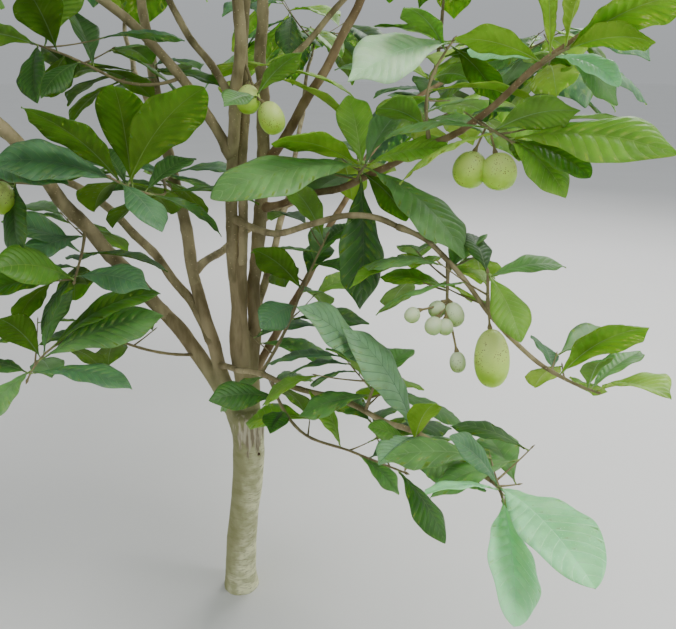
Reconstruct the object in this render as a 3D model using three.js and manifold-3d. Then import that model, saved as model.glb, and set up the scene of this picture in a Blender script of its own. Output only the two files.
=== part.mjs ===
// A young pawpaw tree rooted in the ground: a smooth trunk that forks low, open boughs, and
// shoots of large drooping leaves with some green fruit.
// Millimetres, +Z up. The origin is the middle of the flat cut under the trunk, at ground level.
// A heading turns from +X towards +Y and a rise is up from level, both in degrees.
import * as THREE from 'three';
import { mergeVertices } from 'three/addons/utils/BufferGeometryUtils.js';
import Module from 'manifold-3d';

const manifold = await Module();
manifold.setup();

// Gaps kept between one piece and the next
const CLEARANCE = 0.36;
const TIP_MARGIN = 0.06;
const WELD_DISTANCES = [0.01, 0.014, 0.02, 0.007, 0.03, 0.005, 0.003];

// Trunk and boughs
const TRUNK_RADIUS = [35, 33.5, 37];
const TRUNK_FLARE = 7;
const TRUNK_FLARE_SHARE = 0.07;
const TRUNK_SHOULDER = 9;
const TRUNK_STATIONS = [0, 0.04, 0.12, 0.3, 0.5, 0.7, 0.95, 1];
const TRUNK_SIDES = 14;
const GROUND_BLOCK = [400, 400, 200];
const BOUGH_SIDES = 6;
const BOUGH_RINGS = 6;
const FINE_STEPS = 24;

// Stems and their side twigs
const STEM_RADIUS = 4.2;
const TWIG_RADIUS = 3.2;
const TWIG_TAPER = 0.35;
const STEM_STEP = 110;
const FIRST_TWIG_AT = 0.22;
const TWIG_SPAN = 0.6;
const TWIG_SPREAD = 48;
const TWIG_SPREAD_PLAY = 14;
const TWIG_TURN_PLAY = 60;
const TWIG_FLATTENING = 0.85;
const TWIG_LENGTH_SHARE = 0.55;
const TWIG_LENGTH_PLAY = 0.25;
const TWIG_LIFT = 6;
const GOLDEN_ANGLE = 137.5;

// One leaf: widest past its middle, keeled under its midrib and drooping
const LEAF_LENGTH = 258;
const LEAF_WIDTH_SHARE = 0.45;
const LEAF_WIDEST_AT = 0.62;
const LEAF_ROOT_WIDTH = 0.95;
const LEAF_ROOT_DEPTH = 0.8;
const LEAF_DEPTH_SHARE = 0.0075;
const LEAF_DROOP = 32;
const BLADE_FROM = 0.16;
const LOWEST_LEAF = 220;

// How the leaves stand on a twig that has no listed ones
const LEAVES_PER_TWIG = 4;
const FIRST_LEAF_AT = 0.3;
const LEAF_SPAN = 0.66;
const LAST_LEAF_AT = 0.94;
const STEEP_RISE = 60;
const STEEP_TURN_OFFSET = 0.4;
const SIDE_LEAF_TURN = 58;
const LAST_LEAF_TURN = 12;
const LEAF_TURN_PLAY = 24;
const LEAF_RISE = 4;
const STEEP_LEAF_RISE = 20;
const LEAF_RISE_PLAY = 46;
const SHORTEST_LEAF_SHARE = 0.82;
const LEAF_LENGTH_PLAY = 0.36;
const LEAF_ROLL_PLAY = 24;
const OTHER_LEAF_TURNS = [0, 12, -12, 24, -24];

// Fruit
const FRUIT_STALK_RADIUS = 1.8;
const STALK_SINK = 0.2;
const FRUIT_DROP = 0.32;
const FRUIT_HANG = 0.55;
const SMALL_FRUIT = 45;
const FRUIT_MESH = [7, 5];
const SMALL_FRUIT_MESH = [6, 4];

const TRUNK_COLOUR = 0x9a9783;
const BOUGH_COLOUR = 0x86715c;
const LEAF_COLOUR = 0x4c7a33;

// Each limb leaves the one it grows on at a share of that limb's length. Heading and rise are
// given at its foot, its middle and its tip, and its radius at its foot and its tip.
function limb(name, on, at, heading, rise, length, radius) {
  return { name, on, at, heading, rise, length, radius };
}

const LIMBS = [
  limb('trunk', null, 0, [3, 3, 3], [89, 81, 93], 470, null),
  limb('left_low', 'trunk', 0.8, [137, 253, 173], [61, 53, 44], 1410, [19, 6]),
  limb('left_high', 'trunk', 0.84, [157, 122, 127], [69, 76, 54], 1500, [16, 5.5]),
  limb('front_leader', 'trunk', 0.84, [141, 123, 110], [83, 102, 94], 1670, [15, 5.5]),
  limb('side_leader', 'trunk', 0.95, [53, 24, 1], [89, 85, 62], 1650, [11, 5]),
  limb('rear_leader', 'trunk', 0.84, [49, 82, 103], [84, 78, 59], 1680, [17, 6]),
  limb('left_middle', 'left_high', 0.155, [160, 175, 183], [65, 35, 40], 850, [11, 4.5]),
  limb('left_upper', 'front_leader', 0.37, [179, 204, 201], [62, 37, 81], 980, [10, 4.5]),
  limb('left_steep', 'front_leader', 0.43, [137, 153, 146], [47, 53, 98], 860, [7.5, 4]),
  limb('right_upper', 'rear_leader', 0.355, [1, 4, 8], [48, 75, 28], 1000, [10, 4.5]),
  limb('right_middle', 'side_leader', 0.41, [22, 36, 47], [35, 45, 52], 690, [6.5, 4]),
  limb('right_long', 'rear_leader', 0.305, [-32, -43, -8], [13, 37, 39], 1220, [7.5, 2.6]),
  limb('right_low', 'left_high', 0.12, [-61, -28, -74], [19, -6, 13], 740, [6.5, 4]),
  limb('right_inner', 'rear_leader', 0.09, [30, 50, 28], [53, 53, 16], 920, [9, 4.5]),
  limb('right_droop', 'front_leader', 0.3, [-33, -46, -12], [-21, 27, -18], 390, [7, 4.8]),
  limb('right_fruiting', 'right_droop', 1, [-40, -45, -16], [-10, -46, -29], 335, [4.7, 3.6]),
  limb('back_right', 'left_high', 0.26, [70, 22, 66], [14, 19, 84], 1060, [9, 4.5]),
  limb('back_left', 'left_high', 0.42, [119, 112, 105], [35, 25, 45], 750, [8, 4.5]),
  limb('back_low', 'rear_leader', 0.17, [75, 88, 80], [34, 28, 40], 960, [9, 4.5]),
  limb('front_high', 'front_leader', 0.56, [-99, -88, -105], [45, 35, 35], 720, [8, 4.5]),
];

// A mass of foliage grows from one stem, which leaves a limb as a limb does. Its listed leaves are
// [share of the stem, heading, rise, length] and, where the blade is tilted about its midrib, the
// tilt in degrees. Its fruit are [share of the stem, heading, rise, stalk, length, width].
function listedMass(name, on, at, heading, rise, length, leaves, fruit = []) {
  return { name, on, at, heading, rise, length, leaves, fruit, twigs: 0, reach: Infinity, seed: 1 };
}

// A mass that grows side twigs by rule, each with its leaves, within reach of its stem's middle
function ruledMass(name, on, at, heading, rise, length, twigs, reach, seed) {
  return { name, on, at, heading, rise, length, leaves: [], fruit: [], twigs, reach, seed };
}

const MASSES = [
  listedMass('leaves_left_fan', 'left_high', 0.356, [260, 280, 215], [55, -5, 38], 360, [
    [0.87, -80, 65, 200, -10], [0.9, -25, 45, 240, -40], [0.93, -125, 40, 210, 20],
    [0.94, -45, -25, 140, 0], [0.8, 50, 25, 130, 15], [0.9, 130, 30, 120, 10],
    [0.94, -155, 15, 200, -35],
  ]),
  listedMass('leaves_left_twig', 'left_upper', 0.173, [200, 215, 225], [-25, 30, 15], 270, [
    [0.82, -85, 35, 160, 20], [0.94, -120, 5, 160, 35], [0.94, -80, -40, 130, 25],
    [0.58, 125, 50, 140, 20], [0.9, -20, 50, 140, -15], [0.67, -110, -25, 120, -15],
  ]),
  listedMass('leaves_left_drop', 'left_low', 0.431, [270, 275, 280], [-65, -25, -15], 150, [
    [0.94, -115, 25, 165, -55], [0.9, -145, 0, 170, -20], [0.86, -20, 0, 160, 30],
    [0.15, -120, -5, 150, -25], [0.4, -160, 30, 150, -35], [0.8, -145, -50, 130],
  ]),
  listedMass('leaves_left_edge', 'left_low', 0.168, [235, 210, 220], [15, 35, -70], 410, [
    [0.84, 10, 65, 150, -30], [0.88, 20, 15, 250, 15], [0.8, 20, 27, 235, 5],
    [0.94, -10, 0, 210, -10], [0.92, -105, -15, 170, 10], [0.5, 120, 15, 140, 20],
    [0.86, -115, 55, 140, 55],
  ]),
  listedMass('leaves_left_end', 'left_low', 0.51, [205, 205, 215], [5, 10, 25], 140, [
    [0.94, -15, 0, 200, 30], [0.9, -75, 35, 180, -25], [0.4, -75, -45, 160, 40],
    [0.7, -85, -35, 140, 25],
  ], [[0.6, -60, -35, 8, 58, 48]]),
  listedMass('leaves_low_right', 'right_low', 0.283, [-50, -25, -30], [-70, -10, -5], 340, [
    [0.12, -145, 15, 150, -30], [0.2, -100, 5, 105], [0.6, 160, 65, 130, -10],
    [0.7, -30, -30, 110], [0.94, -55, -25, 160, -20],
  ]),
  listedMass('leaves_inner_right', 'right_low', 0.238, [35, 25, -10], [50, 65, 65], 310, [
    [0.49, -115, 0, 130, -50], [0.6, -155, 45, 140, 50], [0.78, 20, -15, 130, 35],
    [0.94, -160, 60, 150, 35], [0.9, 55, 10, 140, 10],
  ]),
  listedMass('leaves_right_rise', 'right_low', 0.576, [-50, -50, -50], [70, 70, 70], 80, [
    [0.91, -160, 50, 210, -25], [0.6, -150, 50, 140], [0.85, 120, 15, 130],
    [0.7, 50, 20, 130],
  ]),
  listedMass('leaves_right_whorl', 'right_long', 0.201, [-80, -80, -75], [30, 30, 25], 80, [
    [0.94, -150, -5, 290, -15], [0.8, -145, 20, 200, 20], [0.7, 110, 60, 150, -25],
    [0.92, -30, 15, 170, 20], [0.5, -85, -65, 250, -40], [0.9, -45, -25, 260, -10],
    [0.6, 25, -45, 140, -45], [0.94, -30, 55, 140, -30],
  ]),
  listedMass('leaves_right_top', 'right_long', 0.346, [155, 45, -35], [75, 75, 50], 180, [
    [0.94, -150, -15, 205, -35], [0.86, -130, 30, 140], [0.92, 25, -40, 140, -25],
    [0.8, 20, 0, 120, -40], [0.15, -145, 20, 120, 40], [0.6, 50, 0, 120, -45],
  ]),
  listedMass('leaves_right_broad', 'right_long', 0.421, [-65, -60, -55], [-20, -15, -20], 90, [
    [0.5, -50, 15, 155, -45], [0.89, -45, 0, 250, 20], [0.94, -45, -15, 140, 15],
    [0.8, -50, -30, 140, 10], [0.7, 35, -30, 120, -20],
  ], [[0.3, -160, -65, 40, 58, 54], [0.4, -40, -70, 37, 58, 56]]),
  listedMass('leaves_right_spray', 'right_long', 0.529, [-55, -55, -55], [25, 25, 20], 50, [
    [0.4, -120, 60, 140, -45], [0.9, -95, 55, 140, 50], [0.94, -55, 20, 190, -15],
    [0.5, -55, -15, 120, 25], [0.1, 180, 15, 135, 40], [0.8, -25, -40, 110, 30],
    [0.94, -55, 5, 140, -30], [0.1, 140, 10, 130, -25],
  ]),
  listedMass('leaves_fruiting_tip', 'right_fruiting', 1, [-16, -20, -60], [-29, -22, 10], 90, [
    [0.3, -50, 45, 180, -25], [0.94, -75, 25, 170, 15], [0.8, -100, 50, 120, 30],
    [0.85, 35, 15, 130, -20], [0.2, 85, 5, 120, 25],
  ]),
  listedMass('leaves_fruiting_middle', 'right_fruiting', 0.642, [140, 140, 140], [85, 85, 85], 70, [
    [0.9, -70, -35, 130], [0.8, 5, 10, 130, 20], [0.85, 95, 20, 130, 20],
  ], [[0.15, -80, -65, 35, 93, 56]]),
  listedMass('fruit_cluster', 'right_fruiting', 0.33, [-90, -95, -100], [-60, -70, -60], 75, [
    [0.3, 55, 20, 130, -10],
  ], [
    [0.94, -160, -5, 50, 26, 25], [0.85, -170, -25, 8, 30, 28], [0.8, -50, -40, 10, 40, 32],
    [0.97, -130, -25, 30, 30, 28], [0.9, -100, -40, 30, 27, 25], [0.9, -70, -60, 80, 34, 26],
  ]),
  listedMass('leaves_low_tip', 'right_low', 1, [-74, -80, -90], [13, 0, -30], 45, [
    [0.4, -75, 5, 235], [0.94, -95, -15, 190, -40], [0.5, -170, 50, 120, -25],
    [0.6, -155, 15, 130, 15], [0.7, 25, -55, 90, -20],
  ]),
  listedMass('leaves_low_middle', 'right_low', 0.734, [-125, -125, -125], [-55, -55, -55], 60, [
    [0.7, -55, 10, 160], [0.3, -60, 65, 120, -10], [0.1, -125, 5, 120, -20],
    [0.94, -45, 10, 160, -15], [0.5, -160, 40, 100, -30], [0.15, 170, 60, 235, -20],
  ]),
  listedMass('fruit_high_twig', 'side_leader', 0.447, [-60, -70, -60], [-30, -45, -30], 100, [
    [0.9, -20, 40, 120, -35], [0.94, -115, -5, 110, -15],
  ], [[0.5, -100, -50, 12, 52, 44], [0.94, -10, -45, 14, 60, 48]]),
  ruledMass('leaves_left_low_tip', 'left_low', 1, [173, 165, 160], [44, 35, 20], 260, 3, 430, 11),
  ruledMass('leaves_left_low_middle', 'left_low', 0.72, [250, 235, 220], [35, 30, 20], 240, 2, 400, 43),
  ruledMass('leaves_left_high_tip', 'left_high', 1, [127, 135, 140], [54, 55, 45], 300, 3, 450, 13),
  ruledMass('leaves_left_high_middle', 'left_high', 0.68, [60, 75, 85], [35, 35, 25], 260, 2, 400, 14),
  ruledMass('leaves_left_middle_tip', 'left_middle', 1, [183, 170, 160], [40, 20, 5], 260, 3, 420, 15),
  ruledMass('leaves_left_upper_tip', 'left_upper', 1, [201, 215, 220], [81, 60, 45], 280, 3, 440, 16),
  ruledMass('leaves_left_steep_tip', 'left_steep', 1, [146, 160, 170], [98, 80, 65], 280, 3, 440, 17),
  ruledMass('leaves_right_upper_tip', 'right_upper', 1, [8, 15, 20], [28, 30, 20], 280, 3, 440, 59),
  ruledMass('leaves_right_upper_middle', 'right_upper', 0.6, [-60, -50, -40], [40, 40, 30], 230, 2, 380, 19),
  ruledMass('leaves_right_middle_tip', 'right_middle', 1, [47, 30, 20], [52, 30, 10], 240, 3, 400, 34),
  ruledMass('leaves_right_long_tip', 'right_long', 1, [-8, -20, -30], [39, 25, 5], 240, 3, 400, 21),
  ruledMass('leaves_right_inner_tip', 'right_inner', 1, [28, 15, 5], [16, 10, 0], 260, 3, 420, 22),
  ruledMass('leaves_back_right_tip', 'back_right', 1, [66, 55, 45], [84, 60, 40], 280, 3, 440, 23),
  ruledMass('leaves_back_right_middle', 'back_right', 0.66, [10, 0, -5], [30, 20, 10], 240, 2, 400, 75),
  ruledMass('leaves_back_left_tip', 'back_left', 1, [105, 120, 130], [45, 25, 10], 280, 3, 440, 25),
  ruledMass('leaves_back_low_tip', 'back_low', 1, [80, 95, 105], [40, 20, 5], 280, 3, 440, 26),
  ruledMass('leaves_front_high_tip', 'front_high', 1, [-105, -115, -120], [35, 30, 15], 250, 3, 400, 28),
  ruledMass('leaves_front_top', 'front_leader', 1, [290, 275, 260], [86, 82, 75], 330, 4, 480, 41),
  ruledMass('leaves_front_upper', 'front_leader', 0.76, [-40, -50, -60], [45, 35, 25], 260, 2, 420, 30),
  ruledMass('leaves_side_top', 'side_leader', 1, [1, 10, 20], [62, 70, 65], 320, 4, 470, 82),
  ruledMass('leaves_rear_top', 'rear_leader', 1, [103, 95, 90], [59, 65, 55], 320, 3, 470, 32),
  ruledMass('leaves_rear_upper', 'rear_leader', 0.72, [160, 150, 140], [40, 30, 20], 260, 2, 420, 33),
];

// A seeded run of numbers from 0 to 1
function seededRandom(seed) {
  const modulus = 2147483647;
  let state = seed * 7919;
  return () => {
    state = (state * 48271) % modulus;
    return state / modulus;
  };
}

// A value given at the foot, the middle and the tip, read at a share of the way
function readAt([foot, middle, tip], share) {
  return share < 0.5 ? foot + (middle - foot) * share * 2 : middle + (tip - middle) * (share * 2 - 1);
}

function directionOf(heading, rise) {
  const turn = THREE.MathUtils.degToRad(heading);
  const lift = THREE.MathUtils.degToRad(rise);
  return new THREE.Vector3(Math.cos(lift) * Math.cos(turn), Math.cos(lift) * Math.sin(turn), Math.sin(lift));
}

// The path that a limb, twig, leaf or stalk follows, in straight steps
function tracePath(start, heading, rise, length, steps) {
  const points = [start.clone()];
  for (let step = 0; step < steps; step += 1) {
    const share = (step + 0.5) / steps;
    const along = directionOf(readAt(heading, share), readAt(rise, share));
    points.push(points[step].clone().addScaledVector(along, length / steps));
  }
  return { points, heading, rise, length, steps };
}

function pointAt(path, share) {
  const place = Math.min(share, 1) * path.steps;
  const step = Math.min(Math.floor(place), path.steps - 1);
  return path.points[step].clone().lerp(path.points[step + 1], place - step);
}

// The directions along a path, level across it and square to both
function frameAt(path, share, roll = 0) {
  const heading = readAt(path.heading, share);
  const along = directionOf(heading, readAt(path.rise, share));
  const across = directionOf(heading + 90, 0).applyAxisAngle(along, THREE.MathUtils.degToRad(roll));
  return { along, across, upward: along.clone().cross(across) };
}

// A cylinder, or a cone if pointed, bent along a path, with a width and a depth at each ring
function sweptGeometry(path, sides, stations, widthAt, depthAt, options) {
  const { roll = 0, pointed = false, grow = 0 } = options ?? {};
  const rings = stations.length - 1;
  const geometry = new THREE.CylinderGeometry(pointed ? 0 : 1, 1, 1, sides, rings, false, -Math.PI / 2);
  const position = geometry.getAttribute('position');
  for (let index = 0; index < position.count; index += 1) {
    const ring = Math.round((position.getY(index) + 0.5) * rings);
    const share = stations[ring];
    const radius = pointed && ring < rings ? 1 - ring / rings : 1;
    const { along, across, upward } = frameAt(path, share, roll);
    const point = pointAt(path, share);
    point.addScaledVector(upward, (position.getX(index) / radius) * (depthAt(share) + grow));
    point.addScaledVector(across, (position.getZ(index) / radius) * (widthAt(share) + grow));
    if (ring === 0) point.addScaledVector(along, -grow);
    if (ring === rings) point.addScaledVector(along, grow);
    position.setXYZ(index, point.x, point.y, point.z);
  }
  return geometry;
}

// A closed geometry as a solid that can be joined and cut
function solidOf(geometry) {
  geometry.deleteAttribute('normal');
  geometry.deleteAttribute('uv');
  const merged = mergeVertices(geometry, 1e-4);
  return new manifold.Manifold(new manifold.Mesh({
    numProp: 3,
    vertProperties: new Float32Array(merged.getAttribute('position').array),
    triVerts: new Uint32Array(merged.getIndex().array),
  }));
}

function evenStations(rings) {
  return Array.from({ length: rings + 1 }, (_, ring) => ring / rings);
}

// The trunk flares at the ground, narrows, swells again under its fork and rounds off at its top
function trunkRadius(share) {
  const flare = TRUNK_FLARE * Math.exp(-share / TRUNK_FLARE_SHARE);
  const shoulder = share === 1 ? TRUNK_SHOULDER : 0;
  return readAt(TRUNK_RADIUS, share) + flare - shoulder;
}

// The trunk, cut flat at ground level
function trunkSolid(path, grow) {
  const solid = solidOf(sweptGeometry(path, TRUNK_SIDES, TRUNK_STATIONS, trunkRadius, trunkRadius, { grow }));
  const block = new THREE.BoxGeometry(...GROUND_BLOCK).translate(0, 0, -GROUND_BLOCK[2] / 2);
  return solid.subtract(solidOf(block));
}

function boughSolid(path, [foot, tip], grow) {
  const radiusAt = (share) => foot + (tip - foot) * share;
  return solidOf(sweptGeometry(path, BOUGH_SIDES, evenStations(path.steps), radiusAt, radiusAt, { grow }));
}

function limbSolid(entry, path, grow) {
  return entry.radius ? boughSolid(path, entry.radius, grow) : trunkSolid(path, grow);
}

function largestPiece(solid) {
  const pieces = solid.decompose();
  return pieces.reduce((best, piece) => (piece.volume() > best.volume() ? piece : best));
}

function boxOf(solid) {
  const { min, max } = solid.boundingBox();
  return new THREE.Box3(new THREE.Vector3(...min), new THREE.Vector3(...max));
}

function overlaps(first, second) {
  return first.box.intersectsBox(second.box) && first.solid.intersect(second.solid).volume() > 0;
}

// Where a limb or stem starts, on the limb that carries it
function footOf(entry, limbs) {
  if (!entry.on) return new THREE.Vector3();
  const parent = limbs.get(entry.on);
  const point = pointAt(parent.path, entry.at);
  const ahead = frameAt(parent.path, 1).along;
  return entry.at === 1 ? point.addScaledVector(ahead, CLEARANCE + TIP_MARGIN) : point;
}

// Takes away whatever comes nearer to a limb than the clearance
function clearOf(solid, limbs) {
  const near = limbs.filter(({ box }) => boxOf(solid).intersectsBox(box));
  return largestPiece(near.reduce((rest, { grown }) => rest.subtract(grown), solid));
}

// Limbs are made in order, each cut clear of those before it
function makeLimbs() {
  const limbs = new Map();
  for (const entry of LIMBS) {
    const steps = entry.radius ? BOUGH_RINGS : FINE_STEPS;
    const path = tracePath(footOf(entry, limbs), entry.heading, entry.rise, entry.length, steps);
    const solid = clearOf(limbSolid(entry, path, 0), [...limbs.values()]);
    const grown = limbSolid(entry, path, CLEARANCE);
    limbs.set(entry.name, { path, solid, grown, box: boxOf(grown) });
  }
  return limbs;
}

// A three-sided tapering twig
function twigSolid(path, radius) {
  const taper = (share) => radius * (1 - TWIG_TAPER * share);
  return solidOf(sweptGeometry(path, 3, evenStations(path.steps), taper, taper));
}

// A leaf's three edges are its two sides and the keel under it
function leafSolid(path, roll, grow = 0, from = 0) {
  const width = (path.length * LEAF_WIDTH_SHARE) / Math.sqrt(3);
  const depth = path.length * LEAF_DEPTH_SHARE;
  const opening = (share) => Math.min(share / LEAF_WIDEST_AT, 1);
  const widthAt = (share) => LEAF_ROOT_WIDTH + (width - LEAF_ROOT_WIDTH) * opening(share);
  const depthAt = (share) => LEAF_ROOT_DEPTH + (depth - LEAF_ROOT_DEPTH) * opening(share);
  const stations = [from, LEAF_WIDEST_AT, 1];
  return solidOf(sweptGeometry(path, 3, stations, widthAt, depthAt, { roll, grow, pointed: true }));
}

function leafPath(foot, heading, rise, length) {
  const rises = [rise + LEAF_DROOP / 2, rise, rise - LEAF_DROOP / 2];
  return tracePath(foot, [heading, heading, heading], rises, length, FINE_STEPS);
}

// A fruit hangs at the end of its stalk, its long axis nearly in line with it
function fruitSolids(foot, [, heading, rise, stalkLength, length, width]) {
  const reach = stalkLength + length * STALK_SINK;
  const stalk = tracePath(foot, [heading, heading, heading], [rise, rise, rise], reach, 1);
  const hanging = directionOf(heading, rise).lerp(new THREE.Vector3(0, 0, -1), FRUIT_HANG).normalize();
  const body = new THREE.SphereGeometry(1, ...(length < SMALL_FRUIT ? SMALL_FRUIT_MESH : FRUIT_MESH));
  body.scale(width / 2, length / 2, width / 2);
  body.applyQuaternion(new THREE.Quaternion().setFromUnitVectors(new THREE.Vector3(0, -1, 0), hanging));
  const centre = pointAt(stalk, 1).addScaledVector(hanging, length * FRUIT_DROP);
  body.translate(centre.x, centre.y, centre.z);
  return [twigSolid(stalk, FRUIT_STALK_RADIUS), solidOf(body)];
}

// Side twigs turn round the stem by the golden angle and lift towards the light
function sideTwigs(mass, stem, random) {
  const twigs = [];
  for (let index = 0; index < mass.twigs; index += 1) {
    const share = FIRST_TWIG_AT + (TWIG_SPAN * (index + random() * 0.5)) / mass.twigs;
    const { along, across, upward } = frameAt(stem, share);
    const around = THREE.MathUtils.degToRad(index * GOLDEN_ANGLE + TWIG_TURN_PLAY * random());
    const spread = THREE.MathUtils.degToRad(TWIG_SPREAD + TWIG_SPREAD_PLAY * random());
    const outward = across.multiplyScalar(Math.cos(around));
    outward.addScaledVector(upward, Math.sin(around) * TWIG_FLATTENING);
    const aim = along.multiplyScalar(Math.cos(spread)).addScaledVector(outward, Math.sin(spread)).normalize();
    const heading = THREE.MathUtils.radToDeg(Math.atan2(aim.y, aim.x));
    const rise = THREE.MathUtils.radToDeg(Math.asin(aim.z));
    const length = stem.length * (TWIG_LENGTH_SHARE + TWIG_LENGTH_PLAY * random());
    const rises = [rise, rise + TWIG_LIFT, rise + 2 * TWIG_LIFT];
    twigs.push(tracePath(pointAt(stem, share), [heading, heading, heading], rises, length, 1));
  }
  return twigs;
}

// Leaves stand alternately left and right of a flat twig, and all round a steep one
function leafTurn(index, steep, random) {
  if (steep) return (index + STEEP_TURN_OFFSET) * GOLDEN_ANGLE;
  const side = index % 2 === 0 ? 1 : -1;
  const turn = index === LEAVES_PER_TWIG - 1 ? LAST_LEAF_TURN : SIDE_LEAF_TURN;
  return side * turn + LEAF_TURN_PLAY * (random() - 0.5);
}

function ruledLeaves(twig, random) {
  const leaves = [];
  for (let index = 0; index < LEAVES_PER_TWIG; index += 1) {
    const share = FIRST_LEAF_AT + (LEAF_SPAN * (index + 1)) / LEAVES_PER_TWIG;
    const steep = readAt(twig.rise, share) > STEEP_RISE;
    leaves.push({
      foot: pointAt(twig, Math.min(share, LAST_LEAF_AT)),
      heading: readAt(twig.heading, share) + leafTurn(index, steep, random),
      rise: (steep ? STEEP_LEAF_RISE : LEAF_RISE) - LEAF_RISE_PLAY * random(),
      length: LEAF_LENGTH * (SHORTEST_LEAF_SHARE + LEAF_LENGTH_PLAY * random()),
      roll: LEAF_ROLL_PLAY * (random() - 0.5),
    });
  }
  return leaves;
}

function listedLeaves(mass, stem) {
  return mass.leaves.map(([share, heading, rise, length, roll = 0]) => (
    { foot: pointAt(stem, share), heading, rise, length, roll }
  ));
}

// The stem of each mass, with the space that the other masses leave free round it
function makeStems(limbs) {
  return MASSES.map((mass) => {
    const steps = Math.max(Math.round(mass.length / STEM_STEP), 2);
    const path = tracePath(footOf(mass, limbs), mass.heading, mass.rise, mass.length, steps);
    const solid = twigSolid(path, STEM_RADIUS + CLEARANCE);
    return { mass, path, space: { solid, box: boxOf(solid) } };
  });
}

// Grows one mass, leaving out what would leave its reach or touch what is already there
function growMass({ mass, path: stem }, limbs, otherStems, earlier) {
  const random = seededRandom(mass.seed);
  const centre = pointAt(stem, 0.5);
  const limbSpaces = [...limbs.values()].map(({ grown, box }) => ({ solid: grown, box }));
  const others = [...earlier, ...otherStems.map(({ space }) => space)];
  const blades = [];
  const isFree = (solid, others) => {
    const candidate = { solid, box: boxOf(solid) };
    return !others.some((other) => overlaps(candidate, other));
  };
  const isLeafFree = (blade, whole) => isFree(blade, [...limbSpaces, ...blades]) && isFree(whole, others);
  // The leaf, turned by the least that clears everything, or none
  const placeLeaf = ({ foot, heading, rise, length, roll }) => {
    for (const turn of OTHER_LEAF_TURNS) {
      const path = leafPath(foot, heading + turn, rise, length);
      const tip = pointAt(path, 1);
      const blade = leafSolid(path, roll, CLEARANCE, BLADE_FROM);
      const inSpace = tip.distanceTo(centre) < mass.reach && tip.z > LOWEST_LEAF;
      if (inSpace && isLeafFree(blade, leafSolid(path, roll, CLEARANCE))) {
        blades.push({ solid: blade, box: boxOf(blade) });
        return [leafSolid(path, roll)];
      }
    }
    return [];
  };
  const isTwigFree = (twig) => (
    isFree(twigSolid(twig, TWIG_RADIUS + CLEARANCE), [...limbSpaces, ...others])
  );
  const twigs = sideTwigs(mass, stem, random).filter(isTwigFree);
  const shoots = mass.twigs ? [...twigs, stem] : [];
  const parts = [
    twigSolid(stem, STEM_RADIUS),
    ...twigs.map((twig) => twigSolid(twig, TWIG_RADIUS)),
    ...mass.fruit.flatMap((fruit) => fruitSolids(pointAt(stem, fruit[0]), fruit)),
    ...listedLeaves(mass, stem).flatMap(placeLeaf),
    ...shoots.flatMap((shoot) => ruledLeaves(shoot, random).flatMap(placeLeaf)),
  ];
  return clearOf(parts.reduce((whole, part) => whole.add(part)), [...limbs.values()]);
}

// A surface with the corners that lie within a distance made one. A face that loses its area
// goes, and so do two faces that then lie back to back.
function weldedSurface(raw, distance) {
  const welded = mergeVertices(raw, distance);
  const corners = welded.getIndex().array;
  const faces = new Map();
  for (let place = 0; place < corners.length; place += 3) {
    const face = corners.slice(place, place + 3);
    const key = [...face].sort((a, b) => a - b).join(' ');
    if (new Set(face).size < 3) continue;
    if (faces.has(key)) faces.delete(key);
    else faces.set(key, face);
  }
  welded.setIndex([...faces.values()].flatMap((face) => [...face]));
  return welded;
}

// Whether each edge of a surface is met once from either side
function isClosed(surface) {
  const corners = surface.getIndex().array;
  const edges = new Set();
  for (let place = 0; place < corners.length; place += 3) {
    const [a, b, c] = corners.slice(place, place + 3);
    for (const edge of [`${a} ${b}`, `${b} ${c}`, `${c} ${a}`]) edges.add(edge);
  }
  const isMet = (edge) => edges.has(edge.split(' ').reverse().join(' '));
  return edges.size === corners.length && [...edges].every(isMet);
}

// A solid's surface under the first weld that leaves it closed
function surfaceOf(solid) {
  const { vertProperties, triVerts } = solid.getMesh();
  const raw = new THREE.BufferGeometry();
  raw.setAttribute('position', new THREE.BufferAttribute(vertProperties, 3));
  raw.setIndex(new THREE.BufferAttribute(triVerts, 1));
  const surfaces = WELD_DISTANCES.map((distance) => weldedSurface(raw, distance));
  return surfaces.find(isClosed) ?? surfaces[0];
}

// A solid as a named mesh with its own material
function meshOf(name, solid, color, roughness) {
  const geometry = surfaceOf(solid);
  geometry.computeVertexNormals();
  const mesh = new THREE.Mesh(geometry, new THREE.MeshStandardMaterial({ color, roughness, metalness: 0 }));
  mesh.name = name;
  return mesh;
}

const tree = new THREE.Group();
const limbs = makeLimbs();
for (const [name, { solid }] of limbs) {
  tree.add(meshOf(name, solid, name === 'trunk' ? TRUNK_COLOUR : BOUGH_COLOUR, 0.85));
}
const stems = makeStems(limbs);
const grown = [];
for (const stem of stems) {
  const otherStems = stems.filter((other) => other !== stem);
  const solid = growMass(stem, limbs, otherStems, grown);
  grown.push({ solid, box: boxOf(solid) });
  tree.add(meshOf(stem.mass.name, solid, LEAF_COLOUR, 0.6));
}

export default tree;
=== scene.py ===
import math
from collections import namedtuple

import bmesh
import bpy
import numpy as np
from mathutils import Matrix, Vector, noise


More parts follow.
